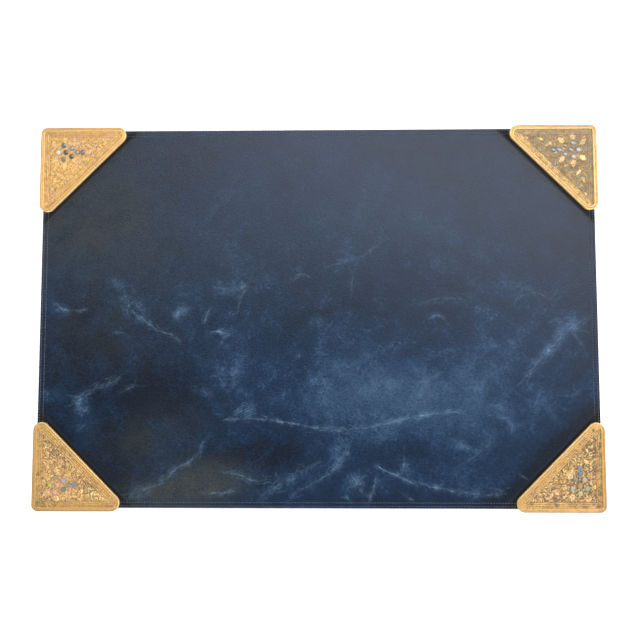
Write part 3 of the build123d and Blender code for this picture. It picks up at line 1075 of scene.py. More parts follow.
@dataclass
class StitchRow:
    """One row of lockstitch on one face, grown along the row's line by Geometry Nodes.

    Attributes:
        border: The outline that the row follows.
        row: The row's name.
        inset: How far inside the pad's edge it runs.
        face_z: The height of the face that it lies on.
        side: Which thread it is.
        sink: How far a stitch's ends go into the pad.
        crown: How far its middle stands up.
        lay: How far the row's line lies below the face.
    """

    border: Border
    row: str
    inset: float
    face_z: float
    side: ThreadSide
    length: float = 2.75
    radius: float = 0.27
    sink: float = 0.42
    crown: float = 0.16
    slant: float = 7.0
    lay: float = 0.06
    seed: int = 11

    def path(self) -> bpy.types.Object:
        """Returns a closed line with a point at the middle of each stitch."""
        flat = self.border.ring(self.inset, per_stitch=1, phase=0.5)
        level = self.face_z - self.side.value * self.lay
        points = np.column_stack([flat, np.full(len(flat), level)]) * MM
        edges = [(i, (i + 1) % len(points)) for i in range(len(points))]
        name = f"{self.side.name.lower()}_stitches_{self.row}"
        mesh = bpy.data.meshes.new(name)
        mesh.from_pydata(points.tolist(), edges, [])
        line = bpy.data.objects.new(name, mesh)
        bpy.context.scene.collection.objects.link(line)
        return line

    @staticmethod
    def vary(nodes: Nodes, low: float, high: float, seed: Socket) -> Socket:
        """Returns a random value for each stitch."""
        inputs = {2: low, 3: high, "Seed": seed}
        return nodes.add("FunctionNodeRandomValue", inputs, data_type="FLOAT").outputs[1]

    def tree(self) -> bpy.types.GeometryNodeTree:
        """Returns the tree that lays one arched stitch on every point of the row."""
        tree = bpy.data.node_groups.new("stitch_row", "GeometryNodeTree")
        face = tree.interface
        face.new_socket("Geometry", in_out="INPUT", socket_type="NodeSocketGeometry")
        for name in ("Length", "Radius", "Sink", "Crown", "Slant"):
            face.new_socket(name, in_out="INPUT", socket_type="NodeSocketFloat")
        face.new_socket("Seed", in_out="INPUT", socket_type="NodeSocketInt")
        face.new_socket("Thread", in_out="INPUT", socket_type="NodeSocketMaterial")
        face.new_socket("Geometry", in_out="OUTPUT", socket_type="NodeSocketGeometry")
        nodes = Nodes(tree)
        given = nodes.add("NodeGroupInput").outputs
        half = nodes.math("MULTIPLY", given["Length"], 0.5)
        back = nodes.math("MULTIPLY", half, -1.0)
        start = nodes.add("ShaderNodeCombineXYZ", {"X": back, "Z": given["Sink"]})
        end = nodes.add("ShaderNodeCombineXYZ", {"X": half, "Z": given["Sink"]})
        top = nodes.add("ShaderNodeCombineXYZ", {"Z": given["Crown"]})
        ends = {"Start": start.outputs[0], "Middle": top.outputs[0], "End": end.outputs[0], "Resolution": 7}
        arch = nodes.add("GeometryNodeCurveQuadraticBezier", ends)
        along = nodes.add("GeometryNodeSplineParameter").outputs["Factor"]
        swell = nodes.math("POWER", nodes.math("SINE", nodes.math("MULTIPLY", along, math.pi)), 0.45)
        swell = nodes.math("MAXIMUM", swell, 0.34)
        thick = nodes.add("GeometryNodeSetCurveRadius", {"Curve": arch.outputs[0], "Radius": swell})
        profile = nodes.add("GeometryNodeCurvePrimitiveCircle", {"Resolution": 6, "Radius": given["Radius"]})
        swept = {"Curve": thick.outputs[0], "Profile Curve": profile.outputs[0], "Fill Caps": True}
        profile_to_mesh = nodes.add("GeometryNodeCurveToMesh", swept)
        if "Scale" in profile_to_mesh.inputs:
            nodes.feed(profile_to_mesh.inputs["Scale"], swell)
        row = nodes.add("GeometryNodeMeshToCurve", {"Mesh": given["Geometry"]})
        tangent = nodes.add("GeometryNodeInputTangent").outputs[0]
        lie = nodes.add("FunctionNodeAlignRotationToVector", {"Vector": tangent}, axis="X")
        wobble = self.vary(nodes, -2.5, 2.5, given["Seed"])
        angle = nodes.math("ADD", given["Slant"], wobble)
        angle = nodes.math("MULTIPLY", angle, math.pi / 180)
        twist = nodes.add("ShaderNodeCombineXYZ", {"Z": angle})
        euler = nodes.add("FunctionNodeEulerToRotation", {0: twist.outputs[0]})
        turns = {0: lie.outputs[0], 1: euler.outputs[0]}
        turned = nodes.add("FunctionNodeRotateRotation", turns, rotation_space="LOCAL")
        laid = {
            "Points": row.outputs[0],
            "Instance": profile_to_mesh.outputs[0],
            "Rotation": turned.outputs[0],
            "Scale": self.vary(nodes, 0.94, 1.06, given["Seed"]),
        }
        stitches = nodes.add("GeometryNodeInstanceOnPoints", laid)
        real = nodes.add("GeometryNodeRealizeInstances", {"Geometry": stitches.outputs[0]})
        smooth_faces = nodes.add("GeometryNodeSetShadeSmooth", {"Geometry": real.outputs[0]})
        dressed = {"Geometry": smooth_faces.outputs[0], "Material": given["Thread"]}
        thread = nodes.add("GeometryNodeSetMaterial", dressed)
        nodes.add("NodeGroupOutput", {"Geometry": thread.outputs[0]})
        return tree

    def build(self, thread: bpy.types.Material) -> bpy.types.Object:
        """Grows the row, makes it a plain mesh and puts it in place of its CAD thread."""
        line, tree = self.path(), self.tree()
        modifier = line.modifiers.new("stitches", "NODES")
        modifier.node_group = tree
        way = self.side.value
        values = {
            "Length": self.length * MM,
            "Radius": self.radius * MM,
            "Sink": -way * self.sink * MM,
            "Crown": way * self.crown * MM,
            "Slant": self.slant,
            "Seed": self.seed,
            "Thread": thread,
        }
        for socket in tree.interface.items_tree:
            if socket.in_out == "INPUT" and socket.name in values:
                modifier[socket.identifier] = values[socket.name]
        graph = bpy.context.evaluated_depsgraph_get()
        mesh = bpy.data.meshes.new_from_object(line.evaluated_get(graph), depsgraph=graph)
        line.modifiers.clear()
        line.data = mesh
        finish_piece(line, "pad", [f"{self.side.name.lower()}_thread_{self.row}"])
        return line


# ---------------------------------------------------------------------------------------------
# The corners
# ---------------------------------------------------------------------------------------------


@dataclass(frozen=True)
class CornerPlan:
    """Where one corner sits, how it is turned and how worn it is.

    Attributes:
        body: The CAD body that it rides on.
        side: Which side of the pad it is on, along X and Y.
        quarter_turns: How many quarter turns take its own plane to the frame.
        tail_turn: Which way the discs' tail points in its own plane, in degrees.
        finish: Its bronze.
        relief_wear: How far its ornament is worn down, from 0 to 1.
        scroll_gilt: How bright the gilding is on its scrolls, from 0 to 1.
        leaf_gilt: How bright the gilding is on its leaves, from 0 to 1.
        full_leaves: Whether it has the smaller leaves as well as the large ones.
        leg_band: How far the ridges along its legs are gilded, from 0 to 1.
        leaf_cut: How deeply the petals' edges are lobed.
        tints: The tints of its eight discs, from the middle one round the ring and along the tail.
    """

    body: str
    side: tuple[int, int]
    quarter_turns: int
    tail_turn: float
    finish: BronzeFinish
    relief_wear: float
    scroll_gilt: float
    leaf_gilt: float
    full_leaves: bool
    leg_band: float
    leaf_cut: float
    tints: tuple[Colour, ...]

    def turn(self) -> tuple[int, int]:
        """Returns the cosine and the sine of the corner's turn."""
        turn = self.quarter_turns * math.pi / 2
        return round(math.cos(turn)), round(math.sin(turn))

    def to_frame(self, points: np.ndarray, vertex: np.ndarray) -> np.ndarray:
        """Takes points from the corner's own plane, with its square point at 0, to the frame."""
        cos, sin = self.turn()
        moved = points.copy()
        moved[:, 0] = vertex[0] + points[:, 0] * cos - points[:, 1] * sin
        moved[:, 1] = vertex[1] + points[:, 0] * sin + points[:, 1] * cos
        return moved

    def from_frame(self, points: np.ndarray, vertex: np.ndarray) -> np.ndarray:
        """Takes points in the frame's plane back to the corner's own."""
        cos, sin = self.turn()
        x, y = points[:, 0] - vertex[0], points[:, 1] - vertex[1]
        return np.stack([x * cos + y * sin, y * cos - x * sin], axis=1)


DARK_PATINA = ((0.145, 0.082, 0.042), (0.150, 0.145, 0.088))
WARM_PATINA = ((0.215, 0.112, 0.045), (0.200, 0.165, 0.080))
PALE_PATINA = ((0.190, 0.120, 0.074), (0.205, 0.205, 0.140))


WORN_GILT = BronzeFinish(
    "bronze_worn_gilt", patina=0.66, green=0.5, spared=0.7, scribble=0.62, glint=0.25, old=WARM_PATINA
)
DEEP_PATINA = BronzeFinish(
    "bronze_deep_patina", patina=1.0, green=0.95, spared=0.90, scribble=0.25, glint=0.55, old=PALE_PATINA
)
SCROLL_GILT = BronzeFinish(
    "bronze_scroll_gilt", patina=1.0, green=0.70, spared=0.45, scribble=0.80, glint=1.0, old=WARM_PATINA
)
DARK_GROUND = BronzeFinish(
    "bronze_dark_ground", patina=1.0, green=0.70, spared=0.62, scribble=0.80, glint=0.9, old=DARK_PATINA
)


class Corner(Enum):
    """The four corners."""

    REAR_LEFT = CornerPlan(
        "rear_left",
        side=(-1, 1),
        quarter_turns=3,
        tail_turn=90,
        finish=WORN_GILT,
        relief_wear=0.8,
        scroll_gilt=0.80,
        leaf_gilt=0.62,
        full_leaves=True,
        leg_band=0.8,
        leaf_cut=0.5,
        tints=((0.075, 0.060, 0.022), (0.24, 0.27, 0.24), (0.060, 0.150, 0.125), (0.62, 0.62, 0.54),
               (0.120, 0.170, 0.095), (0.085, 0.070, 0.030), (0.28, 0.24, 0.17), (0.16, 0.135, 0.16)),
    )
    REAR_RIGHT = CornerPlan(
        "rear_right",
        side=(1, 1),
        quarter_turns=2,
        tail_turn=0,
        finish=DEEP_PATINA,
        relief_wear=0.0,
        scroll_gilt=0.40,
        leaf_gilt=0.66,
        full_leaves=False,
        leg_band=0.3,
        leaf_cut=0.36,
        tints=((0.24, 0.19, 0.15), (0.24, 0.23, 0.23), (0.50, 0.32, 0.23), (0.42, 0.36, 0.36),
               (0.30, 0.23, 0.24), (0.22, 0.12, 0.015), (0.25, 0.22, 0.26), (0.12, 0.17, 0.15)),
    )
    FRONT_LEFT = CornerPlan(
        "front_left",
        side=(-1, -1),
        quarter_turns=0,
        tail_turn=0,
        finish=SCROLL_GILT,
        relief_wear=0.12,
        scroll_gilt=0.95,
        leaf_gilt=0.85,
        full_leaves=True,
        leg_band=0.8,
        leaf_cut=0.6,
        tints=((0.72, 0.40, 0.26), (0.42, 0.38, 0.42), (0.32, 0.31, 0.12), (0.54, 0.46, 0.12),
               (0.74, 0.40, 0.25), (0.18, 0.23, 0.12), (0.26, 0.27, 0.20), (0.22, 0.25, 0.22)),
    )
    FRONT_RIGHT = CornerPlan(
        "front_right",
        side=(1, -1),
        quarter_turns=1,
        tail_turn=0,
        finish=DARK_GROUND,
        relief_wear=0.05,
        scroll_gilt=0.80,
        leaf_gilt=0.70,
        full_leaves=True,
        leg_band=0.8,
        leaf_cut=0.5,
        tints=((0.46, 0.27, 0.13), (0.26, 0.27, 0.22), (0.48, 0.40, 0.34), (0.50, 0.46, 0.20),
               (0.36, 0.36, 0.25), (0.52, 0.40, 0.22), (0.13, 0.20, 0.25), (0.22, 0.21, 0.25)),
    )


@dataclass(frozen=True)
class Motif:
    """A raised ornament in the corner's plane, in millimetres and degrees."""

    x: float
    y: float
    turn: float
    size: float
    rise: float

    def local(self, points: np.ndarray) -> tuple[np.ndarray, np.ndarray]:
        """Returns the points in the ornament's own plane, with its length along the first axis."""
        turn = math.radians(self.turn)
        x, y = points[:, 0] - self.x, points[:, 1] - self.y
        return x * math.cos(turn) + y * math.sin(turn), y * math.cos(turn) - x * math.sin(turn)

    def height(self, points: np.ndarray) -> np.ndarray:
        """Returns how far the ornament stands up at each point."""
        raise NotImplementedError


@dataclass(frozen=True)
class Leaf(Motif):
    """A pointed leaf with lobed edges, a groove down its middle and veins that run out to the lobes."""

    plump: float = 0.40
    lobes: int = 4
    cut: float = 0.30

    def height(self, points: np.ndarray) -> np.ndarray:
        """Returns the leaf's height: crowned, with its veins sunk in it."""
        along, across = self.local(points)
        t = np.clip(along / self.size + 0.5, 0, 1)
        notch = 1 - self.cut * (1 - np.abs(np.sin(math.pi * self.lobes * t))) ** 1.5
        half = self.plump * self.size * np.sin(math.pi * t**0.8) ** 0.8 * notch + 1e-6
        inside = np.clip(1 - np.abs(across) / half, 0, 1) * ((t > 0) & (t < 1))
        crown = np.clip(inside * 2.2, 0, 1) ** 0.7
        phase = t * self.lobes - 0.8 * np.abs(across) / (self.plump * self.size)
        vein = np.exp(-(((phase - np.round(phase)) * self.size / self.lobes / 0.24) ** 2))
        middle = np.exp(-((across / 0.28) ** 2))
        return self.rise * crown * (1 - 0.40 * np.maximum(middle, 0.8 * vein))


@dataclass(frozen=True)
class Scroll(Motif):
    """A curl that winds in on itself, with a bead at its heart and a stem that swings away."""

    hand: int = 1
    turns: float = 1.45
    cord: float = 0.30

    def height(self, points: np.ndarray) -> np.ndarray:
        """Returns the height of the curl's rounded line and its bead."""
        along, across = self.local(points)
        t = np.linspace(-0.16, 1, 34)
        radius = self.size * np.where(t < 0, 1 - 1.1 * t, 1 - 0.84 * np.maximum(t, 0) ** 0.8)
        angle = self.hand * t * math.tau * self.turns
        line = np.stack([radius * np.cos(angle), radius * np.sin(angle)], axis=1)
        flat = np.stack([along, across], axis=1)
        cord = np.clip(1 - (distance_to_line(flat, line) / (self.cord + 0.05 * self.size)) ** 2, 0, 1)
        bead = np.clip(1 - ((flat - line[-1]) ** 2).sum(axis=1) / (0.16 * self.size + 0.1) ** 2, 0, 1)
        return self.rise * np.maximum(cord, bead) ** 0.6


LARGE_LEAVES = ((53.5, 21.0, 40, 7.8), (61.5, 15.8, -20, 7.2), (78.0, 13.8, -8, 5.4))
SMALL_LEAVES = ((46.5, 16.0, -18, 6.6), (66.0, 20.0, 38, 5.4), (70.0, 14.2, -4, 5.0), (13.4, 26.5, 100, 4.6))
SCROLL_SIZES = ((3.3, 400), (2.6, 900), (1.9, 1800), (1.3, 3000), (0.85, 4500))


@dataclass
class Relief:
    """The cast ornament inside the border: petals round the discs, leaves and scrolls beyond.

    Each leaf above is given as its place, its turn and its size, and has a twin across the corner's
    diagonal. Each scroll size comes with how many places are tried for it.
    """

    discs: np.ndarray
    plan: CornerPlan
    leg: float
    field_inset: float
    centre: float = 28.0
    petal_ring: float = 15.55
    petal_turns: tuple[float, ...] = (44, 96, 144)
    collar_r: float = 3.15
    collar_w: float = 0.5
    seed: int = 5

    def leaves(self) -> list[Motif]:
        """Returns the petals and the leaves that run out towards both tips."""
        found: list[Motif] = []
        for turn in (side * turn for turn in self.petal_turns for side in (1, -1)):
            angle = math.radians(turn + self.plan.tail_turn)
            x = self.centre + self.petal_ring * math.cos(angle)
            y = self.centre + self.petal_ring * math.sin(angle)
            found.append(Leaf(x, y, turn + self.plan.tail_turn, 8.5, 0.66, 0.46, 3, self.plan.leaf_cut))
        half = LARGE_LEAVES + (SMALL_LEAVES if self.plan.full_leaves else ())
        for x, y, turn, size in half:
            found += [Leaf(x, y, turn, size, 0.6, 0.30), Leaf(y, x, 90 - turn, size, 0.6, 0.30)]
        if self.plan.full_leaves:
            found.append(Leaf(44.8, 44.8, 45, 5.6, 0.6, 0.34))
        return found

    def room(self, x: float, y: float) -> float:
        """Returns how far a place is inside the border."""
        return min(x, y, (self.leg - x - y) / math.sqrt(2)) - self.field_inset

    def motifs(self) -> list[Motif]:
        """Returns every ornament, with scrolls packed into the room that the leaves leave."""
        found = self.leaves()
        taken = [(leaf.x, leaf.y, leaf.size * 0.38) for leaf in found]
        taken += [(x, y, self.collar_r + self.collar_w - 0.2) for x, y in self.discs]
        draw = np.random.default_rng(self.seed + self.plan.quarter_turns)
        for size, tries in SCROLL_SIZES:
            for x, y in draw.uniform(self.field_inset, self.leg, (tries, 2)):
                if self.room(x, y) < size * 0.8:
                    continue
                if any((x - a) ** 2 + (y - b) ** 2 < (size + r - 0.1) ** 2 for a, b, r in taken):
                    continue
                turn, hand = draw.uniform(0, 360), int(draw.integers(0, 2)) * 2 - 1
                turns, cord = (1.9, 0.22) if size > 2 else (1.3, 0.20)
                found.append(Scroll(x, y, turn, size, 0.30 + 0.08 * size, hand, turns, cord))
                taken.append((x, y, size))
        return found

    def heights(self, points: np.ndarray) -> tuple[np.ndarray, np.ndarray]:
        """Returns the ornament's height at each point, and how bright its gilding is from 0 to 1."""
        height = np.zeros(len(points))
        gilt = np.zeros(len(points))
        draw = np.random.default_rng(self.seed + 40 + self.plan.quarter_turns)
        for motif in self.motifs():
            # Each ornament's gilding is made brighter or darker at random, partly as painted glints.
            lustre = draw.uniform(0.50, 1.30)
            near = np.flatnonzero(np.abs(points - (motif.x, motif.y)).max(axis=1) < motif.size * 1.3 + 0.6)
            if len(near):
                raised = motif.height(points[near])
                bright = self.plan.scroll_gilt * lustre
                if isinstance(motif, Leaf):
                    bright = self.plan.leaf_gilt * max(lustre, 0.85)
                bright = min(bright, 1.0)
                gilt[near] = np.maximum(gilt[near], bright * smooth(raised, 0.12, 0.36))
                height[near] = np.maximum(height[near], raised)
        away = nearest(points, self.discs)
        collar = 0.5 * np.clip(1 - ((away - self.collar_r) / self.collar_w) ** 2, 0, 1) ** 0.6
        gilt = np.maximum(gilt, 0.45 * self.plan.scroll_gilt * smooth(collar, 0.2, 0.5))
        return np.maximum(height, collar), gilt


RIM_PROFILE = (
    (0.0, -1.15), (0.05, -0.78), (0.18, -0.46), (0.4, -0.22), (0.7, -0.08), (1.1, -0.01), (1.6, 0.0),
    (1.85, -0.03), (2.05, -0.22), (2.3, -0.32), (2.55, -0.22), (2.75, -0.04), (3.1, 0.0), (3.6, 0.0),
    (4.1, -0.03), (4.4, -0.14), (4.6, -0.42), (4.75, -0.8),
)
RIDGE_PROFILE = ((0.0, 0.0), (0.14, 0.26), (0.34, 0.44), (0.55, 0.44), (0.75, 0.26), (0.9, 0.0), (1.4, -0.03))
# The walls are painted pale as painted highlight, with a little of the edge's painted shade.
WALL_MARKS = {"gilt_and_highlight": 0.9, "recess": 0.05, "rim": 1.0, "edge": 0.25}


@dataclass
class CornerCover:
    """A cast cover: a rolled rim with a groove, ridges, ornament, and walls round the pocket.

    Its own plane has the square point at 0 and the legs along +X and +Y. Its marks are its gilding with
    painted highlights, how much patina it holds, whether it is on the rim, and its outer edge's painted
    shade.

    Attributes:
        plan: Where the corner sits and how worn it is.
        vertex: The frame's place for the square point.
        low: The height of the walls' feet.
        top: The height of the rim.
        pocket_top: The height of the pocket's roof.
        discs: The discs' centres in the corner's own plane.
        least_r: The least radius of an inner ring's corners.
        seat_ring: The outer radius of the dark ring round a seat.
        groove: Where the rim's groove starts and ends.
        rim_end: Where the rim's top turns down.
    """

    plan: CornerPlan
    vertex: np.ndarray
    low: float
    top: float
    pocket_top: float
    discs: np.ndarray
    wall: float = 2.7
    leg: float = 108.0
    square_r: float = 7.0
    tip_r: float = 9.0
    least_r: float = 0.8
    rim_rise: float = 1.0
    rim_w: float = 4.5
    ridge_from: float = 5.25
    ridge_pitch: float = 2.1
    ridges: int = 3
    field_inset: float = 10.7
    mesh_step: float = 0.34
    seat_r: float = 2.8
    seat_ring: float = 3.15
    seat_sink: float = 0.4
    groove: Point = (2.0, 2.6)
    rim_end: float = 4.3

    def counts(self) -> tuple[int, ...]:
        """Returns how many steps each stretch of the outline has, starting along +X."""
        return (118, 9, 14, 190, 14, 9, 118, 12)

    def ring(self, inset: float) -> np.ndarray:
        """Returns the points of one ring that follows the outline, anticlockwise from above."""
        tip_r = max(self.tip_r - inset, self.least_r)
        square_r = max(self.square_r - inset, self.least_r)
        reach = self.leg - inset * (1 + math.sqrt(2))
        tangent = tip_r / math.tan(math.radians(22.5))
        near, far = inset + square_r, reach - tangent
        tip = np.array((far, inset + tip_r))
        cut = math.asin((self.wall - self.tip_r) / self.tip_r)
        quarter = math.pi / 4
        hyp_x = tip[0] + tip_r * math.cos(quarter)
        hyp_y = tip[1] + tip_r * math.sin(quarter)

        def run(start: Point, end: Point, steps: int) -> np.ndarray:
            """Returns a straight stretch without its end."""
            t = np.arange(steps)[:, None] / steps
            return np.array(start) * (1 - t) + np.array(end) * t

        def arc(centre: Point, radius: float, start: float, end: float, steps: int) -> np.ndarray:
            """Returns a round stretch without its end."""
            angle = start + (end - start) * np.arange(steps) / steps
            return np.array(centre) + radius * np.stack([np.cos(angle), np.sin(angle)], axis=1)

        n = self.counts()
        other = tip[::-1]
        pieces = [
            run((near, inset), (far, inset), n[0]),
            arc(tip, tip_r, -math.pi / 2, cut, n[1]),
            arc(tip, tip_r, cut, quarter, n[2]),
            run((hyp_x, hyp_y), (hyp_y, hyp_x), n[3]),
            arc(other, tip_r, quarter, math.pi / 2 - cut, n[4]),
            arc(other, tip_r, math.pi / 2 - cut, math.pi, n[5]),
            run((inset, far), (inset, near), n[6]),
            arc((near, near), square_r, math.pi, 1.5 * math.pi, n[7]),
        ]
        return np.concatenate(pieces)

    def profile(self) -> list[tuple[float, float]]:
        """Returns each ring's inset and its height against the top of the rim."""
        rings = [*RIM_PROFILE, (4.95, -self.rim_rise), (5.15, -self.rim_rise)]
        kept = 1 - self.plan.relief_wear * 0.4
        for ridge in range(self.ridges):
            start = self.ridge_from + self.ridge_pitch * ridge
            rings += [(start + x, -self.rim_rise + z * kept) for x, z in RIDGE_PROFILE]
        return rings + [(self.field_inset + 0.2, -self.rim_rise)]

    def long_side(self) -> np.ndarray:
        """Returns 1 for the outline's points along the long side and 0 for those along the legs."""
        n = self.counts()
        along = np.zeros(sum(n))
        along[n[0] + n[1] : sum(n[:5])] = 1.0
        return np.convolve(np.concatenate([along[-4:], along, along[:4]]), np.full(9, 1 / 9), "valid")

    def band(self) -> np.ndarray:
        """Returns how far the ridges are gilded along the outline: fully beside the long side."""
        return self.plan.leg_band + (1 - self.plan.leg_band) * self.long_side()

    def on_ridge(self, inset: float, height: float) -> bool:
        """Returns whether one ring of the border lies on the upper part of a ridge."""
        return inset > self.ridge_from and height > 0.2 - self.rim_rise

    def shine_at(self, inset: float, height: float) -> float:
        """Returns how bright the gilding is on one ring of the border."""
        if inset < self.groove[0] or self.groove[1] < inset < self.rim_end:
            return 0.22
        return 0.8 if self.on_ridge(inset, height) else 0.3

    def dirt_at(self, inset: float, height: float) -> float:
        """Returns how much patina one ring of the border holds."""
        if self.groove[0] < inset < self.groove[1]:
            return 0.75
        if inset < self.rim_w:
            return 0.16
        if self.on_ridge(inset, height):
            return 0.05
        return 0.42 if inset < self.field_inset - 0.4 else 0.9

    def field_points(self) -> np.ndarray:
        """Returns points over the field, with clean circles round the disc seats."""
        step = self.mesh_step
        rows = np.arange(self.field_inset, self.leg, step * ROW_RATIO)
        found = []
        for index, y in enumerate(rows):
            x = np.arange(self.field_inset + (index % 2) * step / 2, self.leg, step)
            found.append(np.stack([x, np.full(len(x), y)], axis=1))
        grid = np.concatenate(found)
        inset = self.field_inset + 0.2 + step * 0.55
        inside = (grid.min(axis=1) > inset) & ((self.leg - grid.sum(axis=1)) / math.sqrt(2) > inset)
        grid = grid[inside]
        away = nearest(grid, self.discs)
        grid = grid[(away > 3.75) | (away < 2.35)]
        circle = unit_circle(40)
        seats = [disc + circle * r for disc in self.discs for r in (2.55, 2.78, 2.82, 3.0, 3.2, 3.42, 3.62)]
        return np.concatenate([grid, *seats])

    def add_border(self, shell: Shell, marks: Marks) -> list[np.ndarray]:
        """Adds the rim and the ridges.

        Args:
            shell: The mesh to add to.
            marks: The values to add to, for each point.

        Returns:
            The indices of each ring's points, from the outside in.
        """
        rings = []
        seed = self.plan.quarter_turns
        for inset, height in self.profile():
            flat, on_rim = self.ring(inset), inset < self.rim_w
            swell = 0.045 * cloud(flat, 15, 7.3 + seed, 2) * min(1.0, inset / 2)
            z = self.top + height + swell * (0.4 if inset < 5 else 1.0) - 0.02
            rings.append(shell.add_points(np.column_stack([flat, z])))
            band = np.ones(len(flat))
            if not on_rim:
                rubbed = smooth(cloud(flat, 7.0, 2.2 + seed, 3), -0.5, 0.4)
                band = np.clip(self.band() * (0.55 + 0.45 * rubbed), 0, 1)
            # Painted highlight: the outermost rings along the long side are painted pale.
            long_edge_highlight = self.long_side() * float(inset < 0.9)
            # Painted shade: the outer edge of the legs is marked to be painted darker.
            wear_and_shade = 0.95 if inset < 0.8 else 0.35 if inset < 1.2 else 0.0
            marks["gilt_and_highlight"].append(np.maximum(band * self.shine_at(inset, height), long_edge_highlight))
            marks["recess"].append(1 - band * (1 - self.dirt_at(inset, height)))
            marks["rim"].append(np.full(len(flat), 1.0 if on_rim else 0.45))
            marks["edge"].append((1 - self.long_side()) * wear_and_shade)
        for outer, inner in zip(rings[:-1], rings[1:]):
            shell.add_band(outer, inner)
        return rings

    def add_field(self, shell: Shell, marks: Marks, inmost: np.ndarray) -> None:
        """Fills the border with the stippled ground, the ornament and the discs' seats.

        Args:
            shell: The mesh to add to.
            marks: The values to add to, for each point.
            inmost: The indices of the border's last ring.
        """
        plan, loose = self.plan, self.field_points()
        height, gilt = Relief(self.discs, plan, self.leg, self.field_inset).heights(loose)
        wear = 1 - plan.relief_wear * 0.75
        away = nearest(loose, self.discs)
        ground = self.top - self.rim_rise
        stipple = 0.13 * np.clip(cloud(loose, 1.0, 2.0, 2), -1, 1) * (height < 0.12)
        z = ground + height * wear + stipple + 0.05 * cloud(loose, 9, 4.0, 2)
        z = np.where(away < self.seat_r, ground - self.seat_sink, z)
        inner = shell.add_points(np.column_stack([loose, z]))
        sheltered = 1 - gilt * (0.55 + 0.45 * smooth(height, 0.05, 0.3))
        sheltered = sheltered * (1 - 0.6 * plan.relief_wear)
        sheltered[(away > self.seat_r) & (away < self.seat_ring)] = 1.0
        marks["gilt_and_highlight"].append(gilt)
        marks["recess"].append(sheltered)
        marks["rim"].append(np.zeros(len(loose)))
        marks["edge"].append(np.zeros(len(loose)))
        shell.fill(inmost, inner)

    def build(self) -> bpy.types.Object:
        """Builds and dresses the cover, in place of its CAD solid."""
        plan, shell = self.plan, Shell()
        marks: Marks = {name: [] for name in WALL_MARKS}
        rings = self.add_border(shell, marks)
        self.add_field(shell, marks, rings[-1])
        marked = shell.count
        self.add_walls(shell, rings[0])
        for name, value in WALL_MARKS.items():
            marks[name].append(np.full(shell.count - marked, value))
        shell.points = [plan.to_frame(part, self.vertex) for part in shell.points]
        values = {name: np.concatenate(parts) for name, parts in marks.items()}
        piece = shell.piece(f"{plan.body}_cast_cover", plan.finish.material(), values, 50)
        finish_piece(piece, plan.body, [f"{plan.body}_cover"])
        return piece

    def add_walls(self, shell: Shell, first: np.ndarray) -> None:
        """Closes the cover below its rim: side walls, pocket roof and the walls' feet."""
        flat = self.ring(0.0)
        n = self.counts()
        start, end = n[0] + n[1], sum(n[:5])
        total = len(flat)
        ceiling = shell.add_points(np.column_stack([flat, np.full(total, self.pocket_top)]))
        shell.add_band(ceiling, first)
        legs = [index % total for index in range(end, start + total + 1)]
        foot = shell.add_points(np.column_stack([flat[legs], np.full(len(legs), self.low)]))
        for here in range(len(legs) - 1):
            lower, upper = (foot[here], foot[here + 1]), (ceiling[legs[here + 1]], ceiling[legs[here]])
            shell.faces.append((*lower, *upper))
        inner = np.array([(self.wall, self.wall, z) for z in (self.pocket_top, self.low)])
        roof_corner, foot_corner = shell.add_points(inner)
        open_side = list(ceiling[start : end + 1])
        shell.faces.append(tuple([roof_corner, *open_side])[::-1])
        shell.faces.append(tuple([foot_corner, *foot])[::-1])
        shell.faces.append((roof_corner, ceiling[start], foot[-1], foot_corner))
        shell.faces.append((ceiling[end], roof_corner, foot_corner, foot[0]))


@dataclass
class ShellRosette:
    """The eight polished shell discs of one corner, each with a low dome and a soft edge."""

    plan: CornerPlan
    places: np.ndarray
    radius: float
    low: float
    dome: float = 0.42
    shoulder: float = 0.78
    steps: int = 28

    def build(self, pearl: bpy.types.Material) -> bpy.types.Object:
        """Builds the discs as one piece, in place of their CAD solids."""
        shell, tints = Shell(), []
        circle = unit_circle(self.steps)
        rings = ((1.0, 0.0), (1.0, self.shoulder), (0.975, self.shoulder + 0.12), (0.90, self.shoulder + 0.2))
        rings += tuple((r, self.shoulder + 0.2 + self.dome * (0.81 - r * r)) for r in (0.7, 0.45, 0.2))
        for index, (x, y) in enumerate(self.places):
            first = shell.count
            made = []
            for scale, rise in rings:
                flat = np.array((x, y)) + circle * self.radius * scale
                made.append(shell.add_points(np.column_stack([flat, np.full(self.steps, self.low + rise)])))
            for outer, inner in zip(made[:-1], made[1:]):
                shell.add_band(outer, inner)
            shell.faces.append(tuple(made[-1]))
            shell.faces.append(tuple(made[0][::-1]))
            # Painted shade: each disc's tint is darkened towards its edge and down its side, where it sits in
            # its seat.
            disc_edge_shade = np.repeat((0.3, 0.35, 0.45, 0.75, 1.0, 1.0, 1.0), self.steps)[:, None]
            tints.append(np.tile(rgba(self.plan.tints[index]), (shell.count - first, 1)) * disc_edge_shade)
        name = f"{self.plan.body}_rosette"
        piece = shell.piece(name, pearl, {"tint": np.concatenate(tints)}, 60)
        finish_piece(piece, self.plan.body, [f"{self.plan.body}_shell_discs"])
        return piece


def solid_boxes(node: bpy.types.Object) -> list[tuple[np.ndarray, np.ndarray]]:
    """Returns the lowest and highest corner of each solid in a CAD node, in millimetres, from -X on."""
    copy = bmesh.new()
    copy.from_mesh(node.data)
    bmesh.ops.remove_doubles(copy, verts=copy.verts, dist=1e-6)
    left, found = set(copy.verts), []
    while left:
        stack, island = [left.pop()], []
        while stack:
            vertex = stack.pop()
            island.append(vertex.co[:])
            beside = {edge.other_vert(vertex) for edge in vertex.link_edges} & left
            left -= beside
            stack += beside
        places = np.array(island) / MM
        found.append((places.min(axis=0), places.max(axis=0)))
    copy.free()
    return sorted(found, key=lambda box: tuple(box[0]))


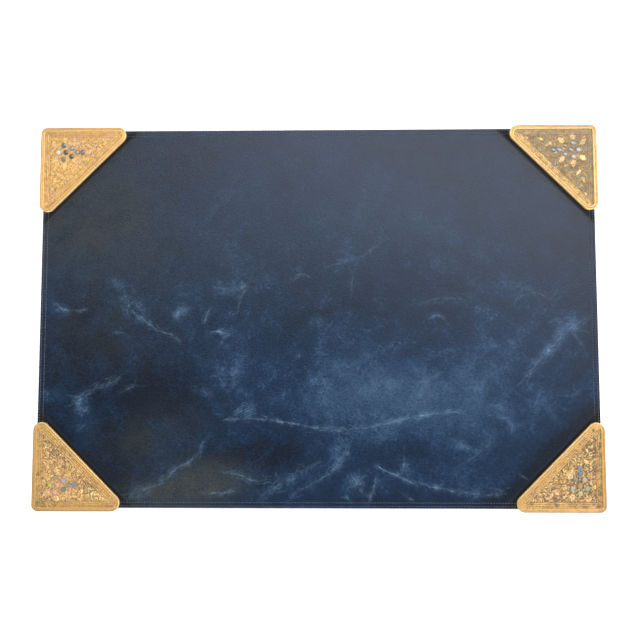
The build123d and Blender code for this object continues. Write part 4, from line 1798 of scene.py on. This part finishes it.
@dataclass
class CornerAssembly:
    """One slip-on corner: its cover, rosette, back plate and rivets."""

    corner: Corner
    nodes: Mapping[str, bpy.types.Object]
    layer_gap: float = 0.3
    tail_from: float = 9.5

    def disc_places(self, vertex: np.ndarray) -> tuple[np.ndarray, float, float]:
        """Returns the discs' centres from the middle one outwards, their radius and their seat's height."""
        plan = self.corner.value
        boxes = solid_boxes(self.nodes[f"{plan.body}_shell_discs"])
        centres = np.array([(low + high)[:2] / 2 for low, high in boxes])
        radius = float((boxes[0][1] - boxes[0][0])[0] / 2)
        own = plan.from_frame(centres, vertex)
        middle = own[np.argmin(np.abs(own - Relief.centre).sum(axis=1))]
        away = own - middle
        angle = np.degrees(np.arctan2(away[:, 1], away[:, 0])) - plan.tail_turn
        far = np.linalg.norm(away, axis=1)
        on_tail = far > self.tail_from
        rank = (far > 0.1) + on_tail * (1 + far) + angle % 360 / 1e3
        order = sorted(range(len(own)), key=lambda index: rank[index])
        return centres[order], radius, float(boxes[0][0][2])

    def build(self, pearl: bpy.types.Material, plate: bpy.types.Material, rivet: bpy.types.Material) -> None:
        """Builds the corner's pieces and dresses the CAD nodes that stay.

        Args:
            pearl: The discs' finish.
            plate: The back plate's finish.
            rivet: The rivets' finish.
        """
        plan = self.corner.value
        low, high = (np.array(corner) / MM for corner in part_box(f"{plan.body}_cover"))
        vertex = np.array([(low, high)[side > 0][axis] for axis, side in enumerate(plan.side)])
        pocket_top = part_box("leather_top")[1].z / MM + self.layer_gap
        places, radius, seat = self.disc_places(vertex)
        own = plan.from_frame(places, vertex)
        CornerCover(plan, vertex, low[2], high[2], pocket_top, own).build()
        ShellRosette(plan, places, radius, seat).build(pearl)
        for part, material in (("back_plate", plate), ("rivets", rivet)):
            dress(self.nodes[f"{plan.body}_{part}"], material)


def dress(node: bpy.types.Object, material: bpy.types.Material) -> None:
    """Gives a CAD node its finish."""
    node.data.materials.clear()
    node.data.materials.append(material)
    LOG.info("%s keeps its CAD shape", node.name)


# ---------------------------------------------------------------------------------------------
# The studio
# ---------------------------------------------------------------------------------------------


@dataclass(frozen=True)
class SoftLight:
    """A square soft light that faces a target, with sizes in metres."""

    name: str
    place: tuple[float, float, float]
    size: tuple[float, float]
    watts: float
    colour: Colour = (1.0, 1.0, 1.0)

    def build(self, target: Vector) -> None:
        """Adds the light."""
        data = bpy.data.lights.new(self.name, "AREA")
        data.shape = "RECTANGLE"
        data.size, data.size_y = self.size
        data.energy = self.watts
        data.color = self.colour
        light = bpy.data.objects.new(self.name, data)
        light.location = self.place
        light.rotation_euler = (target - light.location).to_track_quat("-Z", "Y").to_euler()
        bpy.context.scene.collection.objects.link(light)


@dataclass(frozen=True)
class WideSun:
    """A broad, low, even light that reaches the whole floor, with its spread in degrees."""

    name: str
    way: tuple[float, float, float]
    strength: float
    spread: float

    def build(self, target: Vector) -> None:
        """Adds the light, shining from its way towards the target."""
        data = bpy.data.lights.new(self.name, "SUN")
        data.energy = self.strength
        data.angle = math.radians(self.spread)
        light = bpy.data.objects.new(self.name, data)
        light.location = target + Vector(self.way)
        light.rotation_euler = (-Vector(self.way)).to_track_quat("-Z", "Y").to_euler()
        bpy.context.scene.collection.objects.link(light)


@dataclass
class Studio:
    """A pale floor, soft light and the camera that looks down on the mat.

    Attributes:
        target: What the camera and the lights are placed from.
        floor_drop: How far the floor lies below the mat, in metres.
        floor_glow: The floor's own glow, which keeps it pale far away.
        room_light: The room's light at the horizon and overhead.
    """

    target: Vector
    camera_place: tuple[float, float, float] = (0.0133, -0.0468, 0.679)
    camera_turn: tuple[float, float, float] = (3.54, 0.86, -0.04)
    lens: float = 35.0
    floor_half: float = 24.0
    floor_drop: float = 0.0002
    floor_glow: float = 0.40
    room_light: tuple[float, float] = (0.92, 0.006)
    lights: tuple[SoftLight | WideSun, ...] = (
        SoftLight("rear_softbox", (0.30, 0.87, 1.75), (2.5, 0.8), 36.0),
        SoftLight("left_fill", (-2.0, 0.3, 0.95), (1.2, 1.2), 13.0),
        SoftLight("right_fill", (2.0, 0.2, 1.0), (1.2, 1.2), 24.0),
        WideSun("front_sun", (0.1, -0.88, 0.46), 2.4, 40.0),
    )

    def floor(self) -> None:
        """Adds the pale floor just under the mat."""
        material, nodes, shader = new_material("pale_floor", (0.9, 0.9, 0.9))
        tone = nodes.noise(nodes.mapped((1, 1, 1)), 3, 2)
        paint = nodes.blend(tone, rgba((0.90, 0.90, 0.90)), rgba((0.93, 0.93, 0.93)))
        nodes.feed(shader.inputs["Base Color"], paint)
        shader.inputs["Roughness"].default_value = 0.85
        shader.inputs["Specular IOR Level"].default_value = 0.1
        shader.inputs["Emission Color"].default_value = (1.0, 1.0, 1.0, 1.0)
        shader.inputs["Emission Strength"].default_value = self.floor_glow
        half = self.floor_half
        corners = ((-half, -half), (half, -half), (half, half), (-half, half))
        mesh = bpy.data.meshes.new("floor")
        mesh.from_pydata([(x, y, -self.floor_drop) for x, y in corners], [], [(0, 1, 2, 3)])
        mesh.materials.append(material)
        floor = bpy.data.objects.new("floor", mesh)
        bpy.context.scene.collection.objects.link(floor)

    def camera(self) -> None:
        """Adds the camera, above the mat and a little to its front."""
        data = bpy.data.cameras.new("camera")
        data.lens = self.lens
        data.sensor_width = 36.0
        camera = bpy.data.objects.new("camera", data)
        camera.location = self.target + Vector(self.camera_place)
        camera.rotation_euler = [math.radians(angle) for angle in self.camera_turn]
        bpy.context.scene.collection.objects.link(camera)
        bpy.context.scene.camera = camera

    def build(self) -> None:
        """Sets the whole studio."""
        scene = bpy.context.scene
        scene.view_settings.view_transform = "Standard"
        world = bpy.data.worlds.new("soft_room")
        world.use_nodes = True
        nodes = Nodes(world.node_tree)
        background = world.node_tree.nodes["Background"]
        way = nodes.add("ShaderNodeSeparateXYZ", {0: nodes.add("ShaderNodeTexCoord").outputs["Generated"]})
        background.inputs[0].default_value = (1.0, 1.0, 1.0, 1.0)
        nodes.feed(background.inputs[1], nodes.between(way.outputs[2], 0.12, 0.72, *self.room_light))
        scene.world = world
        self.floor()
        for light in self.lights:
            light.build(self.target)
        self.camera()


# ---------------------------------------------------------------------------------------------
# The whole mat
# ---------------------------------------------------------------------------------------------


def build_pad(nodes: Mapping[str, bpy.types.Object]) -> None:
    """Builds the leather, the four threads and the finishes of the inner layers."""
    low, high = (np.array(corner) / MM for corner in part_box("leather_top"))
    border = Border(high[0], high[1])
    leather = LeatherFace(border, low[2], high[2], CornerCover.leg)
    leather.build()
    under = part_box("backing_sheet")[0].z / MM
    thread = ThreadFinish().material()
    for row, inset in zip(("outer", "inner"), leather.rows):
        StitchRow(border, row, inset, high[2], ThreadSide.NEEDLE).build(thread)
        StitchRow(border, row, inset, under, ThreadSide.BOBBIN).build(thread)
    dress(nodes["stiffener_board"], BoardFinish().material())
    dress(nodes["backing_sheet"], NapFinish().material())


def main() -> None:
    """Builds the studio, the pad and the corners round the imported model."""
    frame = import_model()
    nodes = frame["nodes"]
    pad_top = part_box("leather_top")[1].z
    Studio(Vector((0, 0, pad_top))).build()
    build_pad(nodes)
    pearl = ShellFinish().material()
    plate = PlateFinish("back_plate_bronze", (0.42, 0.28, 0.13), (0.16, 0.10, 0.05)).material()
    rivet = PlateFinish("rivet_brass", (0.62, 0.44, 0.20), (0.30, 0.19, 0.08), 2600).material()
    for corner in Corner:
        CornerAssembly(corner, nodes).build(pearl, plate, rivet)


if __name__ == "__main__":
    logging.basicConfig(level=logging.INFO, format="%(name)s: %(message)s")
    main()
